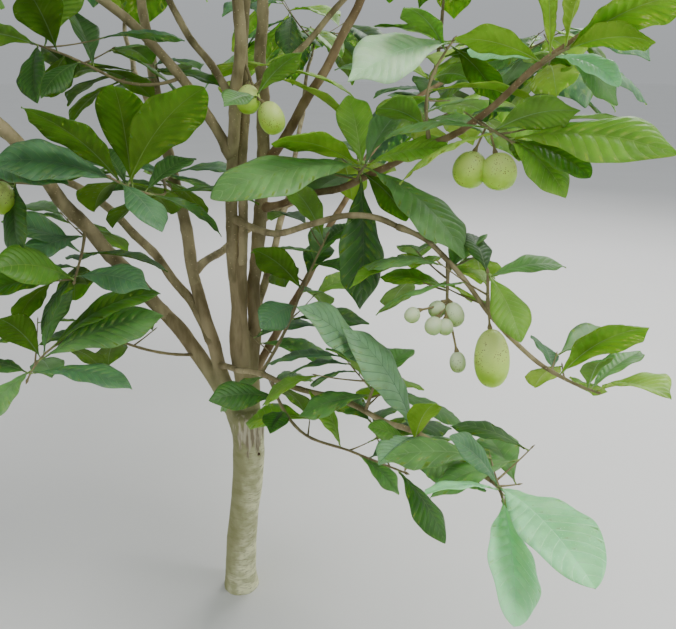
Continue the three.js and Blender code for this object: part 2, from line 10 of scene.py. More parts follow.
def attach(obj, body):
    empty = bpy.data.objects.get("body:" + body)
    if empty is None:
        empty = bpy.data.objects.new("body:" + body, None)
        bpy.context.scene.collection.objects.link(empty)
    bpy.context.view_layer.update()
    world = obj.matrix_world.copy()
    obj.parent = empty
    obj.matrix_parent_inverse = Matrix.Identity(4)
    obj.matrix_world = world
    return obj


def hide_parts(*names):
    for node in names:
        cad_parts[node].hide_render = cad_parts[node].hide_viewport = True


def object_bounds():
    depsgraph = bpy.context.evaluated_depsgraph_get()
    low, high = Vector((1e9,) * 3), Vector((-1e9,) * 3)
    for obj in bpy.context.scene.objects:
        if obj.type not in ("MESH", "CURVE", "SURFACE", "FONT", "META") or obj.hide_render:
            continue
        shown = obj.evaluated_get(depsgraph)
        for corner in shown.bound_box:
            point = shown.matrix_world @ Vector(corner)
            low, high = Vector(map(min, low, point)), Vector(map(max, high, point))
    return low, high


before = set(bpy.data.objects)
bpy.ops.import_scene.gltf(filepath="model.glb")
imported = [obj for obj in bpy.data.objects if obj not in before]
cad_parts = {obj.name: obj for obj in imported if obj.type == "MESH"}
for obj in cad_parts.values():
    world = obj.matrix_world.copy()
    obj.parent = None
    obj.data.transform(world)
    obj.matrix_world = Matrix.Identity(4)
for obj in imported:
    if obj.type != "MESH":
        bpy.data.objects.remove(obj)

# A young pawpaw tree rooted in the ground. Metres, +Z up, and the photograph looks along +Y.
# A heading turns from +X towards +Y and a rise is up from level, both in degrees.
CAD_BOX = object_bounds()

# Camera, placed as the photograph's was
CAMERA_PLACE = (0.233, -1.366, 1.187)
CAMERA_PITCH = 20
CAMERA_LENS = 37.28
CAMERA_SENSOR = 36
PHOTO_WIDTH, PHOTO_HEIGHT = 676, 629

# Patches of the photograph, left, top, right and bottom in pixels, that the finer leaves keep out
# of. In the first ones nothing of the tree shows, and the last three hold fruit.
OPEN_PATCHES = (
    (505, 205, 676, 305), (262, 428, 372, 629), (372, 485, 425, 629), (0, 418, 228, 629),
    (128, 335, 215, 400), (470, 388, 560, 415), (520, 398, 676, 629),
    (450, 150, 516, 190), (470, 328, 512, 388), (402, 298, 468, 374),
)

# Floor, sky and lights: each light's name, place, power in watts and size
STAGE_RADIUS = 40
STAGE_SIDES = 96
WORLD_STRENGTH = 0.68
SKY = ((0.0, (0.62, 0.647, 0.665)), (0.45, (0.84, 0.89, 0.94)))
LIGHT_AIM = (0, 0, 1)
LIGHTS = (
    ("key", (2.8, -1.4, 4.2), 215, 2.4),
    ("back", (1.8, 3.2, 3.6), 150, 2.4),
    ("fill", (-2.8, -2.6, 2.2), 26, 3.0),
)

# Trunk and boughs
TIP_GAP = 0.00042
TRUNK_RADIUS = (0.035, 0.0335, 0.037)
TRUNK_FLARE = 0.007
TRUNK_FLARE_SHARE = 0.07
TRUNK_SHOULDER = 0.009
TRUNK_SHOULDER_ZONE = (0.95, 1.06)
TRUNK_STEPS = 24
TRUNK_SIDES = 48
STUB_SIDES = 24
BOUGH_STEPS = 6
BOUGH_SWAY = 0.012
BOUGH_BENDS = 10
BOUGH_STIFF = 0.12
LEADERS = ("left_low", "left_high", "front_leader", "side_leader", "rear_leader")
LEADER_BLEND = (0.33, 0.42)
LEADER_SINK = 0.15

# Stems, side twigs and their leaves, by the same rule as the solids. A pair of numbers for `drawn`
# is the first value and how far a random one may lie beyond it. TWIG_ZONE, LEAF_ZONE and
# BETWEEN_ZONE are given the same way, in shares of a stem.
STEM_STEP = 0.110
TWIG_ZONE = (0.22, 0.6)
TWIG_SPREAD = (48, 14)
TWIG_TURN_PLAY = 60
TWIG_FLATTENING = 0.85
TWIG_LENGTH = (0.55, 0.25)
TWIG_LIFT = 6
GOLDEN_ANGLE = 137.5
LEAF_LENGTH = 0.258
LEAF_WIDTH_SHARE = 0.45
LEAF_DROOP = 32
LOWEST_LEAF = 0.220
LEAVES_PER_TWIG = 4
LEAF_ZONE = (0.3, 0.66)
LAST_LEAF_AT = 0.94
STEEP_RISE = 60
STEEP_TURN_OFFSET = 0.4
SIDE_LEAF_TURN = 58
LAST_LEAF_TURN = 12
LEAF_TURN = (-12, 24)
LEAF_RISE = (4, -46)
STEEP_LEAF_RISE = (20, -46)
LEAF_SIZE = (0.82, 0.36)
LEAF_ROLL = (-12, 24)
OTHER_LEAF_TURNS = (0, 12, -12, 24, -24)

# What the finer growth adds
LISTED_SHOOT = -1
BEHIND = (5, 170)
FILLERS = 7
FILLER_SHARE = 0.62
BETWEEN_ZONE = (0.2, 0.62)
STEM_RADIUS = 0.0036
TWIG_RADIUS = 0.0026
TWIG_TAPER = 0.5
TWIGLET_RADIUS = 0.0018
FIRST_TWIGLET_SHOOT = 10
TWIGLET_AT = 0.34
TWIGLET_SHARE = 0.55
TWIGLET_LEAVES = 3
TWIGLET_ROOT = 3
TWIGLETS_BEHIND = (0.15, 0.4, 0.65, 0.9)
TWIGLET_RISE = (-15, 50)
TWIGLET_LENGTH = (0.07, 0.06)
FINE_LEAF_SHARE = 0.8
FOOT_GAP = 0.008
BARE_TIP = 0.03
LEAF_GAP = 0.014
NEAR_SHARE = 0.75
LIMB_GAP = 0.006

# One leaf. A fine or plain one has so many veins, crests between two veins and columns on a side.
PETIOLE_SHARE = 0.045
PETIOLE_SIDES = 6
PETIOLE_RADII = (0.00169, 0.0013, 0.00117, 0.00078)
LEAF_THICKNESS = 0.0005
LEAF_WIDTH_PLAY = 0.045
WIDEST_POWER = 1.45
FULLNESS = 0.88
BLUNT_FULLNESS = 0.28
BLUNT_ZONE = (0.5, 0.7)
BLUNTNESS = (0, 0.65)
BROAD_ENDED = 0.9
BROAD_TINTS = ("olive", "mint")
POINT_PINCH = 0.55
POINT_ZONE = (0.76, 0.97)
RIB_WIDTH = 0.0022
RIB_DEPTH = 0.0015
RIB_TAPER = 0.8
VEIN_SLANT = 0.2
VEIN_HALF = 0.035
ROOT_ROWS = (0, 0.012, 0.035)
ROOT_CRESTS = (0, 0.3, 0.6)
POINT_ROWS = (0.945, 0.968, 0.987, 1)
POINT_CRESTS = (0.5, 0.3, 0.1, 0)
FINE_LEAF = (11, 2, (0, 0.25, 0.5, 0.78, 1))
PLAIN_LEAF = (7, 1, (0, 0.34, 0.7, 1))
LEAF_FOLD = (0.05, 0.42)
LEAF_CURL = (0.1, 0.4)
LEAF_WAVES = (2.6, 4.4)
LEAF_WAVE_SHARE = 0.011
LEAF_TWIST = 16
TIP_DROP = (0.0, 0.09)
QUILT_SHARE = 0.012

# Twigs and boughs
TWIG_RING = 0.014
TWIG_NODE = 0.22
TWIG_SIDES = 6
BUD_LENGTH = 0.011
BUD_GIRTHS = (0.9, 1.5, 1.6, 1.2, 0.7, 0.15)
BOUGH_RING = 0.01
BOUGH_SIDES = 16
COLLAR = 0.34
COLLAR_LENGTH = 0.016
FORK_COLLAR = 0.05
FORK_SWELL = 0.12
NODE_SPACING = 0.055
NODE_LENGTH = 0.006
NODE_SWELL = 0.09
GIRTH_PLAY = 0.08
PINK_BOUGHS = ("right_long", "right_upper", "right_inner")

# Relief of the trunk. A smoothing has its lowest and highest place and its number of passes. Lumps,
# flutes and wrinkles are so fine across and upwards, and so high. The worn patch and the knot have
# their height and heading.
BARK_VOXEL = 0.0032
SMOOTHINGS = ((-1, 3, 5), (0.37, 0.47, 34))
FORK_HEIGHT = 0.44
LUMPS = (17, 17, 0.0016)
FLUTES = (46, 7, 0.0011)
WRINKLES = (24, 130, 0.0008)
WORN_AT = (0.425, -75)
WORN_SIZE = (0.034, 0.042)
KNOT_AT = (0.372, -44)
KNOT_SIZE = (0.005, 0.007)
KNOT_DEPTH = 0.0034
KNOT_LIP = 0.0018
# Painted shade on the trunk: the direction it is measured along, and where it fades from full to none.
SHADED_SIDE = (1, 0, -0.22)
SHADED_ZONE = (-0.06, 0.004)

# Fruit
YOUNG_FRUIT = 0.045
STALK_RADIUS = 0.0019
STALK_RINGS = 24
STALK_SIDES = 8
NECK_LENGTH = 0.0045
NECK_SWELL = 1.3
STALK_SINK = 0.2
FRUIT_DROP = 0.32
FRUIT_HANG = 0.55
FRUIT_BEND = 12
FRUIT_RINGS = 22
FRUIT_SIDES = 24
FRUIT_FULL_END = 0.1
FRUIT_BLUNTNESS = 0.43

# Base colours of each tint that a leaf may have: its upper side, its underside and its veins
TINTS = {
    "deep": ((0.045, 0.115, 0.025), (0.070, 0.140, 0.012), (0.100, 0.190, 0.050)),
    "blue": ((0.085, 0.190, 0.090), (0.120, 0.235, 0.085), (0.150, 0.270, 0.120)),
    # This tint's dark vein colour, also on its midrib, is painted shade in the creases between its quilted
    # crests.
    "grey": ((0.185, 0.345, 0.180), (0.200, 0.340, 0.140), (0.075, 0.160, 0.075)),
    "mid": ((0.140, 0.290, 0.090), (0.160, 0.290, 0.050), (0.200, 0.350, 0.125)),
    "olive": ((0.080, 0.195, 0.020), (0.105, 0.205, 0.018), (0.145, 0.265, 0.035)),
    "fresh": ((0.190, 0.370, 0.040), (0.220, 0.390, 0.030), (0.270, 0.450, 0.090)),
    "yellow": ((0.290, 0.480, 0.070), (0.310, 0.480, 0.050), (0.350, 0.540, 0.120)),
    # This tint is partly a pale leaf green and partly painted sheen.
    "mint": ((0.320, 0.900, 0.380), (0.290, 0.720, 0.270), (0.450, 0.950, 0.480)),
    # This tint is brightened past any leaf's own colour as painted light, for a leaf that lies in shade.
    "pale": ((0.540, 0.990, 0.470), (0.510, 0.990, 0.410), (0.620, 0.990, 0.560)),
}
STALK_SLOT, TINT_SLOTS = 0, 1
STRAY_TINTS = 0.3

# Each side of the crown, the words in the names of its masses and the tints that its ruled leaves
# take. The first side that fits a name counts.
REGIONS = {
    "fruiting": ("fruit", "fresh yellow mid"),
    "low": ("leaves_low inner", "blue mid deep fresh"),
    "back": ("back rear", "mid fresh blue deep"),
    "left_near": ("left_fan left_twig left_drop left_edge left_end", "deep blue mid olive"),
    "left": ("left", "deep blue mid olive"),
    "front": ("front side", "mid fresh blue"),
    "right_near": ("right_rise right_whorl right_top right_broad right_spray", "fresh mid yellow blue"),
    "right": ("right", "fresh mid yellow blue"),
}

Limb = namedtuple("Limb", "name on at heading rise length radius")
Mass = namedtuple("Mass", "name on at heading rise length leaves tints fruit twigs reach seed",
                  defaults=((), 0, math.inf, 1))


def ruled(on, end, at, heading, rise, length, twigs, reach, seed):
    """A mass that grows side twigs by rule, within reach of its stem's middle."""
    name = "leaves_" + on.removesuffix("_leader") + "_" + end
    return Mass(name, on, at, heading, rise, length, (), "", (), twigs, reach, seed)


# Each limb leaves the one it grows on at a share of that limb's length. Heading and rise are
# given at its foot, its middle and its tip, and its radius at its foot and its tip.
LIMBS = [
    Limb("trunk", None, 0, (3, 3, 3), (89, 81, 93), 0.47, None),
    Limb("left_low", "trunk", 0.8, (137, 253, 173), (61, 53, 44), 1.41, (0.019, 0.006)),
    Limb("left_high", "trunk", 0.84, (157, 122, 127), (69, 76, 54), 1.5, (0.016, 0.0055)),
    Limb("front_leader", "trunk", 0.84, (141, 123, 110), (83, 102, 94), 1.67, (0.015, 0.0055)),
    Limb("side_leader", "trunk", 0.95, (53, 24, 1), (89, 85, 62), 1.65, (0.011, 0.005)),
    Limb("rear_leader", "trunk", 0.84, (49, 82, 103), (84, 78, 59), 1.68, (0.017, 0.006)),
    Limb("left_middle", "left_high", 0.155, (160, 175, 183), (65, 35, 40), 0.85, (0.011, 0.0045)),
    Limb("left_upper", "front_leader", 0.37, (179, 204, 201), (62, 37, 81), 0.98, (0.01, 0.0045)),
    Limb("left_steep", "front_leader", 0.43, (137, 153, 146), (47, 53, 98), 0.86, (0.0075, 0.004)),
    Limb("right_upper", "rear_leader", 0.355, (1, 4, 8), (48, 75, 28), 1, (0.01, 0.0045)),
    Limb("right_middle", "side_leader", 0.41, (22, 36, 47), (35, 45, 52), 0.69, (0.0065, 0.004)),
    Limb("right_long", "rear_leader", 0.305, (-32, -43, -8), (13, 37, 39), 1.22, (0.0075, 0.0026)),
    Limb("right_low", "left_high", 0.12, (-61, -28, -74), (19, -6, 13), 0.74, (0.0065, 0.004)),
    Limb("right_inner", "rear_leader", 0.09, (30, 50, 28), (53, 53, 16), 0.92, (0.009, 0.0045)),
    Limb("right_droop", "front_leader", 0.3, (-33, -46, -12), (-21, 27, -18), 0.39, (0.007, 0.0048)),
    Limb("right_fruiting", "right_droop", 1, (-40, -45, -16), (-10, -46, -29), 0.335, (0.0047, 0.0036)),
    Limb("back_right", "left_high", 0.26, (70, 22, 66), (14, 19, 84), 1.06, (0.009, 0.0045)),
    Limb("back_left", "left_high", 0.42, (119, 112, 105), (35, 25, 45), 0.75, (0.008, 0.0045)),
    Limb("back_low", "rear_leader", 0.17, (75, 88, 80), (34, 28, 40), 0.96, (0.009, 0.0045)),
    Limb("front_high", "front_leader", 0.56, (-99, -88, -105), (45, 35, 35), 0.72, (0.008, 0.0045)),
]

# A leaf is (share of its stem, heading, rise, length) and, where its blade is tilted about its
# midrib, the tilt. The tints follow in the order of the leaves. A fruit is (share of its stem,
# heading, rise, stalk, length, width).
MASSES = [
    Mass("leaves_left_fan", "left_high", 0.356, (260, 280, 215), (55, -5, 38), 0.36, [
        (0.87, -80, 65, 0.2, -10), (0.9, -25, 45, 0.24, -40), (0.93, -125, 40, 0.21, 20),
        (0.94, -45, -25, 0.14), (0.8, 50, 25, 0.13, 15), (0.9, 130, 30, 0.12, 10),
        (0.94, -155, 15, 0.2, -35),
    ], "olive olive deep blue deep deep blue"),
    Mass("leaves_left_twig", "left_upper", 0.173, (200, 215, 225), (-25, 30, 15), 0.27, [
        (0.82, -85, 35, 0.16, 20), (0.94, -120, 5, 0.16, 35), (0.94, -80, -40, 0.13, 25),
        (0.58, 125, 50, 0.14, 20), (0.9, -20, 50, 0.14, -15), (0.67, -110, -25, 0.12, -15),
    ], "deep mid deep deep mid deep"),
    Mass("leaves_left_drop", "left_low", 0.431, (270, 275, 280), (-65, -25, -15), 0.15, [
        (0.94, -115, 25, 0.165, -55), (0.9, -145, 0, 0.17, -20), (0.86, -20, 0, 0.16, 30),
        (0.15, -120, -5, 0.15, -25), (0.4, -160, 30, 0.15, -35), (0.8, -145, -50, 0.13),
    ], "olive olive blue blue blue deep"),
    Mass("leaves_left_edge", "left_low", 0.168, (235, 210, 220), (15, 35, -70), 0.41, [
        (0.84, 10, 65, 0.15, -30), (0.88, 20, 15, 0.25, 15), (0.8, 20, 27, 0.235, 5),
        (0.94, -10, 0, 0.21, -10), (0.92, -105, -15, 0.17, 10), (0.5, 120, 15, 0.14, 20),
        (0.86, -115, 55, 0.14, 55),
    ], "blue mid olive blue mid deep deep"),
    Mass("leaves_left_end", "left_low", 0.51, (205, 205, 215), (5, 10, 25), 0.14, [
        (0.94, -15, 0, 0.2, 30), (0.9, -75, 35, 0.18, -25), (0.4, -75, -45, 0.16, 40),
        (0.7, -85, -35, 0.14, 25),
    ], "blue deep deep olive", [
        (0.6, -60, -35, 0.008, 0.058, 0.048),
    ]),
    Mass("leaves_low_right", "right_low", 0.283, (-50, -25, -30), (-70, -10, -5), 0.34, [
        (0.12, -145, 15, 0.15, -30), (0.2, -100, 5, 0.105), (0.6, 160, 65, 0.13, -10),
        (0.7, -30, -30, 0.11), (0.94, -55, -25, 0.16, -20),
    ], "deep deep fresh mid deep"),
    Mass("leaves_inner_right", "right_low", 0.238, (35, 25, -10), (50, 65, 65), 0.31, [
        (0.49, -115, 0, 0.13, -50), (0.6, -155, 45, 0.14, 50), (0.78, 20, -15, 0.13, 35),
        (0.94, -160, 60, 0.15, 35), (0.9, 55, 10, 0.14, 10),
    ], "blue deep deep mid deep"),
    Mass("leaves_right_rise", "right_low", 0.576, (-50, -50, -50), (70, 70, 70), 0.08, [
        (0.91, -160, 50, 0.21, -25), (0.6, -150, 50, 0.14), (0.85, 120, 15, 0.13),
        (0.7, 50, 20, 0.13),
    ], "grey mid deep mid"),
    Mass("leaves_right_whorl", "right_long", 0.201, (-80, -80, -75), (30, 30, 25), 0.08, [
        (0.94, -150, -5, 0.29, -15), (0.8, -145, 20, 0.2, 20), (0.7, 110, 60, 0.15, -25),
        (0.92, -30, 15, 0.17, 20), (0.5, -85, -65, 0.25, -40), (0.9, -45, -25, 0.26, -10),
        (0.6, 25, -45, 0.14, -45), (0.94, -30, 55, 0.14, -30),
    ], "mid fresh fresh fresh deep mid deep blue"),
    Mass("leaves_right_top", "right_long", 0.346, (155, 45, -35), (75, 75, 50), 0.18, [
        (0.94, -150, -15, 0.205, -35), (0.86, -130, 30, 0.14), (0.92, 25, -40, 0.14, -25),
        (0.8, 20, 0, 0.12, -40), (0.15, -145, 20, 0.12, 40), (0.6, 50, 0, 0.12, -45),
    ], "pale mid deep deep mid mid"),
    Mass("leaves_right_broad", "right_long", 0.421, (-65, -60, -55), (-20, -15, -20), 0.09, [
        (0.5, -50, 15, 0.155, -45), (0.89, -45, 0, 0.25, 20), (0.94, -45, -15, 0.14, 15),
        (0.8, -50, -30, 0.14, 10), (0.7, 35, -30, 0.12, -20),
    ], "mid fresh olive fresh deep", [
        (0.3, -160, -65, 0.04, 0.058, 0.054), (0.4, -40, -70, 0.037, 0.058, 0.056),
    ]),
    Mass("leaves_right_spray", "right_long", 0.529, (-55, -55, -55), (25, 25, 20), 0.05, [
        (0.4, -120, 60, 0.14, -45), (0.9, -95, 55, 0.14, 50), (0.94, -55, 20, 0.19, -15),
        (0.5, -55, -15, 0.12, 25), (0.1, 180, 15, 0.135, 40), (0.8, -25, -40, 0.11, 30),
        (0.94, -55, 5, 0.14, -30), (0.1, 140, 10, 0.13, -25),
    ], "yellow yellow fresh mint fresh mid fresh mint"),
    Mass("leaves_fruiting_tip", "right_fruiting", 1, (-16, -20, -60), (-29, -22, 10), 0.09, [
        (0.3, -50, 45, 0.18, -25), (0.94, -75, 25, 0.17, 15), (0.8, -100, 50, 0.12, 30),
        (0.85, 35, 15, 0.13, -20), (0.2, 85, 5, 0.12, 25),
    ], "fresh yellow mid mid blue"),
    Mass("leaves_fruiting_middle", "right_fruiting", 0.642, (140, 140, 140), (85, 85, 85), 0.07, [
        (0.9, -70, -35, 0.13), (0.8, 5, 10, 0.13, 20), (0.85, 95, 20, 0.13, 20),
    ], "fresh mid deep", [
        (0.15, -80, -65, 0.035, 0.093, 0.056),
    ]),
    Mass("fruit_cluster", "right_fruiting", 0.33, (-90, -95, -100), (-60, -70, -60), 0.075, [
        (0.3, 55, 20, 0.13, -10),
    ], "mid", [
        (0.94, -160, -5, 0.05, 0.026, 0.025), (0.85, -170, -25, 0.008, 0.03, 0.028),
        (0.8, -50, -40, 0.01, 0.04, 0.032), (0.97, -130, -25, 0.03, 0.03, 0.028),
        (0.9, -100, -40, 0.03, 0.027, 0.025), (0.9, -70, -60, 0.08, 0.034, 0.026),
    ]),
    Mass("leaves_low_tip", "right_low", 1, (-74, -80, -90), (13, 0, -30), 0.045, [
        (0.4, -75, 5, 0.235), (0.94, -95, -15, 0.19, -40), (0.5, -170, 50, 0.12, -25),
        (0.6, -155, 15, 0.13, 15), (0.7, 25, -55, 0.09, -20),
    ], "mint mint blue mint mid"),
    Mass("leaves_low_middle", "right_low", 0.734, (-125, -125, -125), (-55, -55, -55), 0.06, [
        (0.7, -55, 10, 0.16), (0.3, -60, 65, 0.12, -10), (0.1, -125, 5, 0.12, -20),
        (0.94, -45, 10, 0.16, -15), (0.5, -160, 40, 0.1, -30), (0.15, 170, 60, 0.235, -20),
    ], "mid fresh grey blue olive grey"),
    Mass("fruit_high_twig", "side_leader", 0.447, (-60, -70, -60), (-30, -45, -30), 0.1, [
        (0.9, -20, 40, 0.12, -35), (0.94, -115, -5, 0.11, -15),
    ], "mid mid", [
        (0.5, -100, -50, 0.012, 0.052, 0.044), (0.94, -10, -45, 0.014, 0.06, 0.048),
    ]),
    ruled("left_low", "tip", 1, (173, 165, 160), (44, 35, 20), 0.26, 3, 0.43, 11),
    ruled("left_low", "middle", 0.72, (250, 235, 220), (35, 30, 20), 0.24, 2, 0.4, 43),
    ruled("left_high", "tip", 1, (127, 135, 140), (54, 55, 45), 0.3, 3, 0.45, 13),
    ruled("left_high", "middle", 0.68, (60, 75, 85), (35, 35, 25), 0.26, 2, 0.4, 14),
    ruled("left_middle", "tip", 1, (183, 170, 160), (40, 20, 5), 0.26, 3, 0.42, 15),
    ruled("left_upper", "tip", 1, (201, 215, 220), (81, 60, 45), 0.28, 3, 0.44, 16),
    ruled("left_steep", "tip", 1, (146, 160, 170), (98, 80, 65), 0.28, 3, 0.44, 17),
    ruled("right_upper", "tip", 1, (8, 15, 20), (28, 30, 20), 0.28, 3, 0.44, 59),
    ruled("right_upper", "middle", 0.6, (-60, -50, -40), (40, 40, 30), 0.23, 2, 0.38, 19),
    ruled("right_middle", "tip", 1, (47, 30, 20), (52, 30, 10), 0.24, 3, 0.4, 34),
    ruled("right_long", "tip", 1, (-8, -20, -30), (39, 25, 5), 0.24, 3, 0.4, 21),
    ruled("right_inner", "tip", 1, (28, 15, 5), (16, 10, 0), 0.26, 3, 0.42, 22),
    ruled("back_right", "tip", 1, (66, 55, 45), (84, 60, 40), 0.28, 3, 0.44, 23),
    ruled("back_right", "middle", 0.66, (10, 0, -5), (30, 20, 10), 0.24, 2, 0.4, 75),
    ruled("back_left", "tip", 1, (105, 120, 130), (45, 25, 10), 0.28, 3, 0.44, 25),
    ruled("back_low", "tip", 1, (80, 95, 105), (40, 20, 5), 0.28, 3, 0.44, 26),
    ruled("front_high", "tip", 1, (-105, -115, -120), (35, 30, 15), 0.25, 3, 0.4, 28),
    ruled("front_leader", "top", 1, (290, 275, 260), (86, 82, 75), 0.33, 4, 0.48, 41),
    ruled("front_leader", "upper", 0.76, (-40, -50, -60), (45, 35, 25), 0.26, 2, 0.42, 30),
    ruled("side_leader", "top", 1, (1, 10, 20), (62, 70, 65), 0.32, 4, 0.47, 82),
    ruled("rear_leader", "top", 1, (103, 95, 90), (59, 65, 55), 0.32, 3, 0.47, 32),
    ruled("rear_leader", "upper", 0.72, (160, 150, 140), (40, 30, 20), 0.26, 2, 0.42, 33),
]


def seeded_random(seed):
    """Seeded numbers from 0 to 1, as the solids use."""
    state = seed * 7919
    while True:
        state = state * 48271 % 2147483647
        yield state / 2147483647


def drawn(span, random):
    """A random number, from its first value and how far it may lie beyond."""
    return span[0] + span[1] * next(random)


def read_at(values, share):
    return np.interp(share, (0, 0.5, 1), values)


def direction_of(heading, rise):
    turn, lift = np.radians(heading), np.radians(rise)
    return np.stack([np.cos(lift) * np.cos(turn), np.cos(lift) * np.sin(turn), np.sin(lift) + 0 * turn], -1)


def angles_of(aim):
    """The heading and the rise of a direction of length 1."""
    return math.degrees(math.atan2(aim[1], aim[0])), math.degrees(math.asin(aim[2]))


def smooth_step(low, high, value):
    share = np.clip((value - low) / (high - low), 0, 1)
    return share * share * (3 - 2 * share)


def bell(value, middle, width):
    return np.exp(-((value - middle) / width) ** 2)


def turns(sides):
    return np.arange(sides) * 2 * math.pi / sides


class Path:
    """A smooth curve through the corners of the solid's straight steps."""

    def __init__(self, start, heading, rise, length, steps, fine=8):
        self.heading, self.rise, self.length = heading, rise, length
        strides = self.along((np.arange(steps) + 0.5) / steps) * length / steps
        corners = np.vstack([start, start + np.cumsum(strides, 0)])
        tangents = self.along(np.arange(steps + 1) / steps) * length / steps
        self.shares = np.linspace(0, 1, steps * fine + 1)
        step = np.minimum((self.shares * steps).astype(int), steps - 1)
        t = (self.shares * steps - step)[:, None]
        start_part = (1 + 2 * t) * (1 - t) ** 2 * corners[step] + t * (1 - t) ** 2 * tangents[step]
        end_part = t * t * (3 - 2 * t) * corners[step + 1] + t * t * (t - 1) * tangents[step + 1]
        self.points = start_part + end_part

    def at(self, share):
        return np.stack([np.interp(share, self.shares, self.points[:, axis]) for axis in range(3)], -1)

    def along(self, share):
        return direction_of(read_at(self.heading, share), read_at(self.rise, share))

    def frame(self, share, roll=0):
        """The directions along the path, level across it and square to both."""
        along = self.along(share)
        level = direction_of(read_at(self.heading, share) + 90, 0 * share)
        turn = np.radians(roll)[..., None] if np.ndim(roll) else np.radians(roll)
        across = level * np.cos(turn) + np.cross(along, level) * np.sin(turn)
        return along, across, np.cross(along, across)


def straight_path(foot, heading, rise, length, steps=1, bend=0, fine=8):
    """A path that keeps its heading. Each half of it rises by the bend."""
    return Path(foot, (heading,) * 3, (rise - bend, rise, rise + bend), length, steps, fine)


def path_from(entry, paths, steps):
    """The path of a limb or stem from its place on its parent."""
    foot = np.zeros(3)
    if entry.on:
        parent = paths[entry.on]
        foot = parent.at(entry.at) + parent.along(1.0) * (TIP_GAP if entry.at == 1 else 0)
    return Path(foot, entry.heading, entry.rise, entry.length, steps)


def limb_paths():
    paths = {}
    for limb in LIMBS:
        paths[limb.name] = path_from(limb, paths, BOUGH_STEPS if limb.radius else TRUNK_STEPS)
        if limb.radius:
            sway(paths[limb.name], len(paths) * 3.7)
    return paths


def sway(path, seed):
    place = path.shares * path.length
    _, across, upward = path.frame(path.shares)
    for way, start in ((across, seed), (upward, seed + 80)):
        bends = np.array([noise.noise((along * BOUGH_BENDS, start, 0.5)) for along in place])
        path.points += way * (BOUGH_SWAY * np.minimum(place / BOUGH_STIFF, 1) * bends)[:, None]


def trunk_radius(share):
    """The trunk flares at the ground, narrows, swells again under its fork and rounds off."""
    flare = TRUNK_FLARE * np.exp(-share / TRUNK_FLARE_SHARE)
    shoulder = TRUNK_SHOULDER * smooth_step(*TRUNK_SHOULDER_ZONE, share)
    return read_at(TRUNK_RADIUS, share) + flare - shoulder


def limb_radius(limb, share):
    if limb.radius is None:
        return trunk_radius(share)
    foot, tip = limb.radius
    return foot + (tip - foot) * share


def leaf_path(foot, heading, rise, length):
    return straight_path(foot, heading, rise, length, 4, -LEAF_DROOP / 2, 6)


def twig_path(foot, aim, length):
    heading, rise = angles_of(aim / np.linalg.norm(aim))
    return straight_path(foot, heading, rise + TWIG_LIFT, length, 2, TWIG_LIFT)


def twig_from(stem, share, spread, sideways, upright, length):
    along, across, upward = stem.frame(share)
    turn = math.radians(spread)
    aim = along * math.cos(turn) + (across * sideways + upward * upright) * math.sin(turn)
    return twig_path(stem.at(share), aim, length)


def side_twigs(mass, stem, random):
    """Side twigs turn round the stem by the golden angle and lift towards the light."""
    twigs = []
    for index in range(mass.twigs):
        share = TWIG_ZONE[0] + TWIG_ZONE[1] * (index + next(random) * 0.5) / mass.twigs
        around = math.radians(index * GOLDEN_ANGLE + TWIG_TURN_PLAY * next(random))
        spread = drawn(TWIG_SPREAD, random)
        sideways, upright = math.cos(around), math.sin(around) * TWIG_FLATTENING
        length = stem.length * drawn(TWIG_LENGTH, random)
        twigs.append(twig_from(stem, share, spread, sideways, upright, length))
    return twigs


def twiglet_behind(stem, share, random):
    aim = direction_of(drawn(BEHIND, random), drawn(TWIGLET_RISE, random))
    return twig_path(stem.at(share), aim, drawn(TWIGLET_LENGTH, random))


def leaf_turn(index, count, steep, random):
    """Leaves stand alternately left and right of a flat twig, and all round a steep one."""
    if steep:
        return (index + STEEP_TURN_OFFSET) * GOLDEN_ANGLE
    turn = LAST_LEAF_TURN if index == count - 1 else SIDE_LEAF_TURN
    return (-1) ** index * turn + drawn(LEAF_TURN, random)


def ruled_leaves(twig, count, size, random, zone=LEAF_ZONE):
    leaves = []
    for index in range(count):
        share = zone[0] + zone[1] * (index + 1) / count
        steep = read_at(twig.rise, share) > STEEP_RISE
        heading = read_at(twig.heading, share) + leaf_turn(index, count, steep, random)
        rise = drawn(STEEP_LEAF_RISE if steep else LEAF_RISE, random)
        length = LEAF_LENGTH * size * drawn(LEAF_SIZE, random)
        foot = twig.at(min(share, LAST_LEAF_AT))
        leaves.append((foot, heading, rise, length, drawn(LEAF_ROLL, random)))
    return leaves


def leaves_behind(shoot, random):
    return [(foot, drawn(BEHIND, random), *rest)
            for foot, _, *rest in ruled_leaves(shoot, FILLERS, FILLER_SHARE, random)]


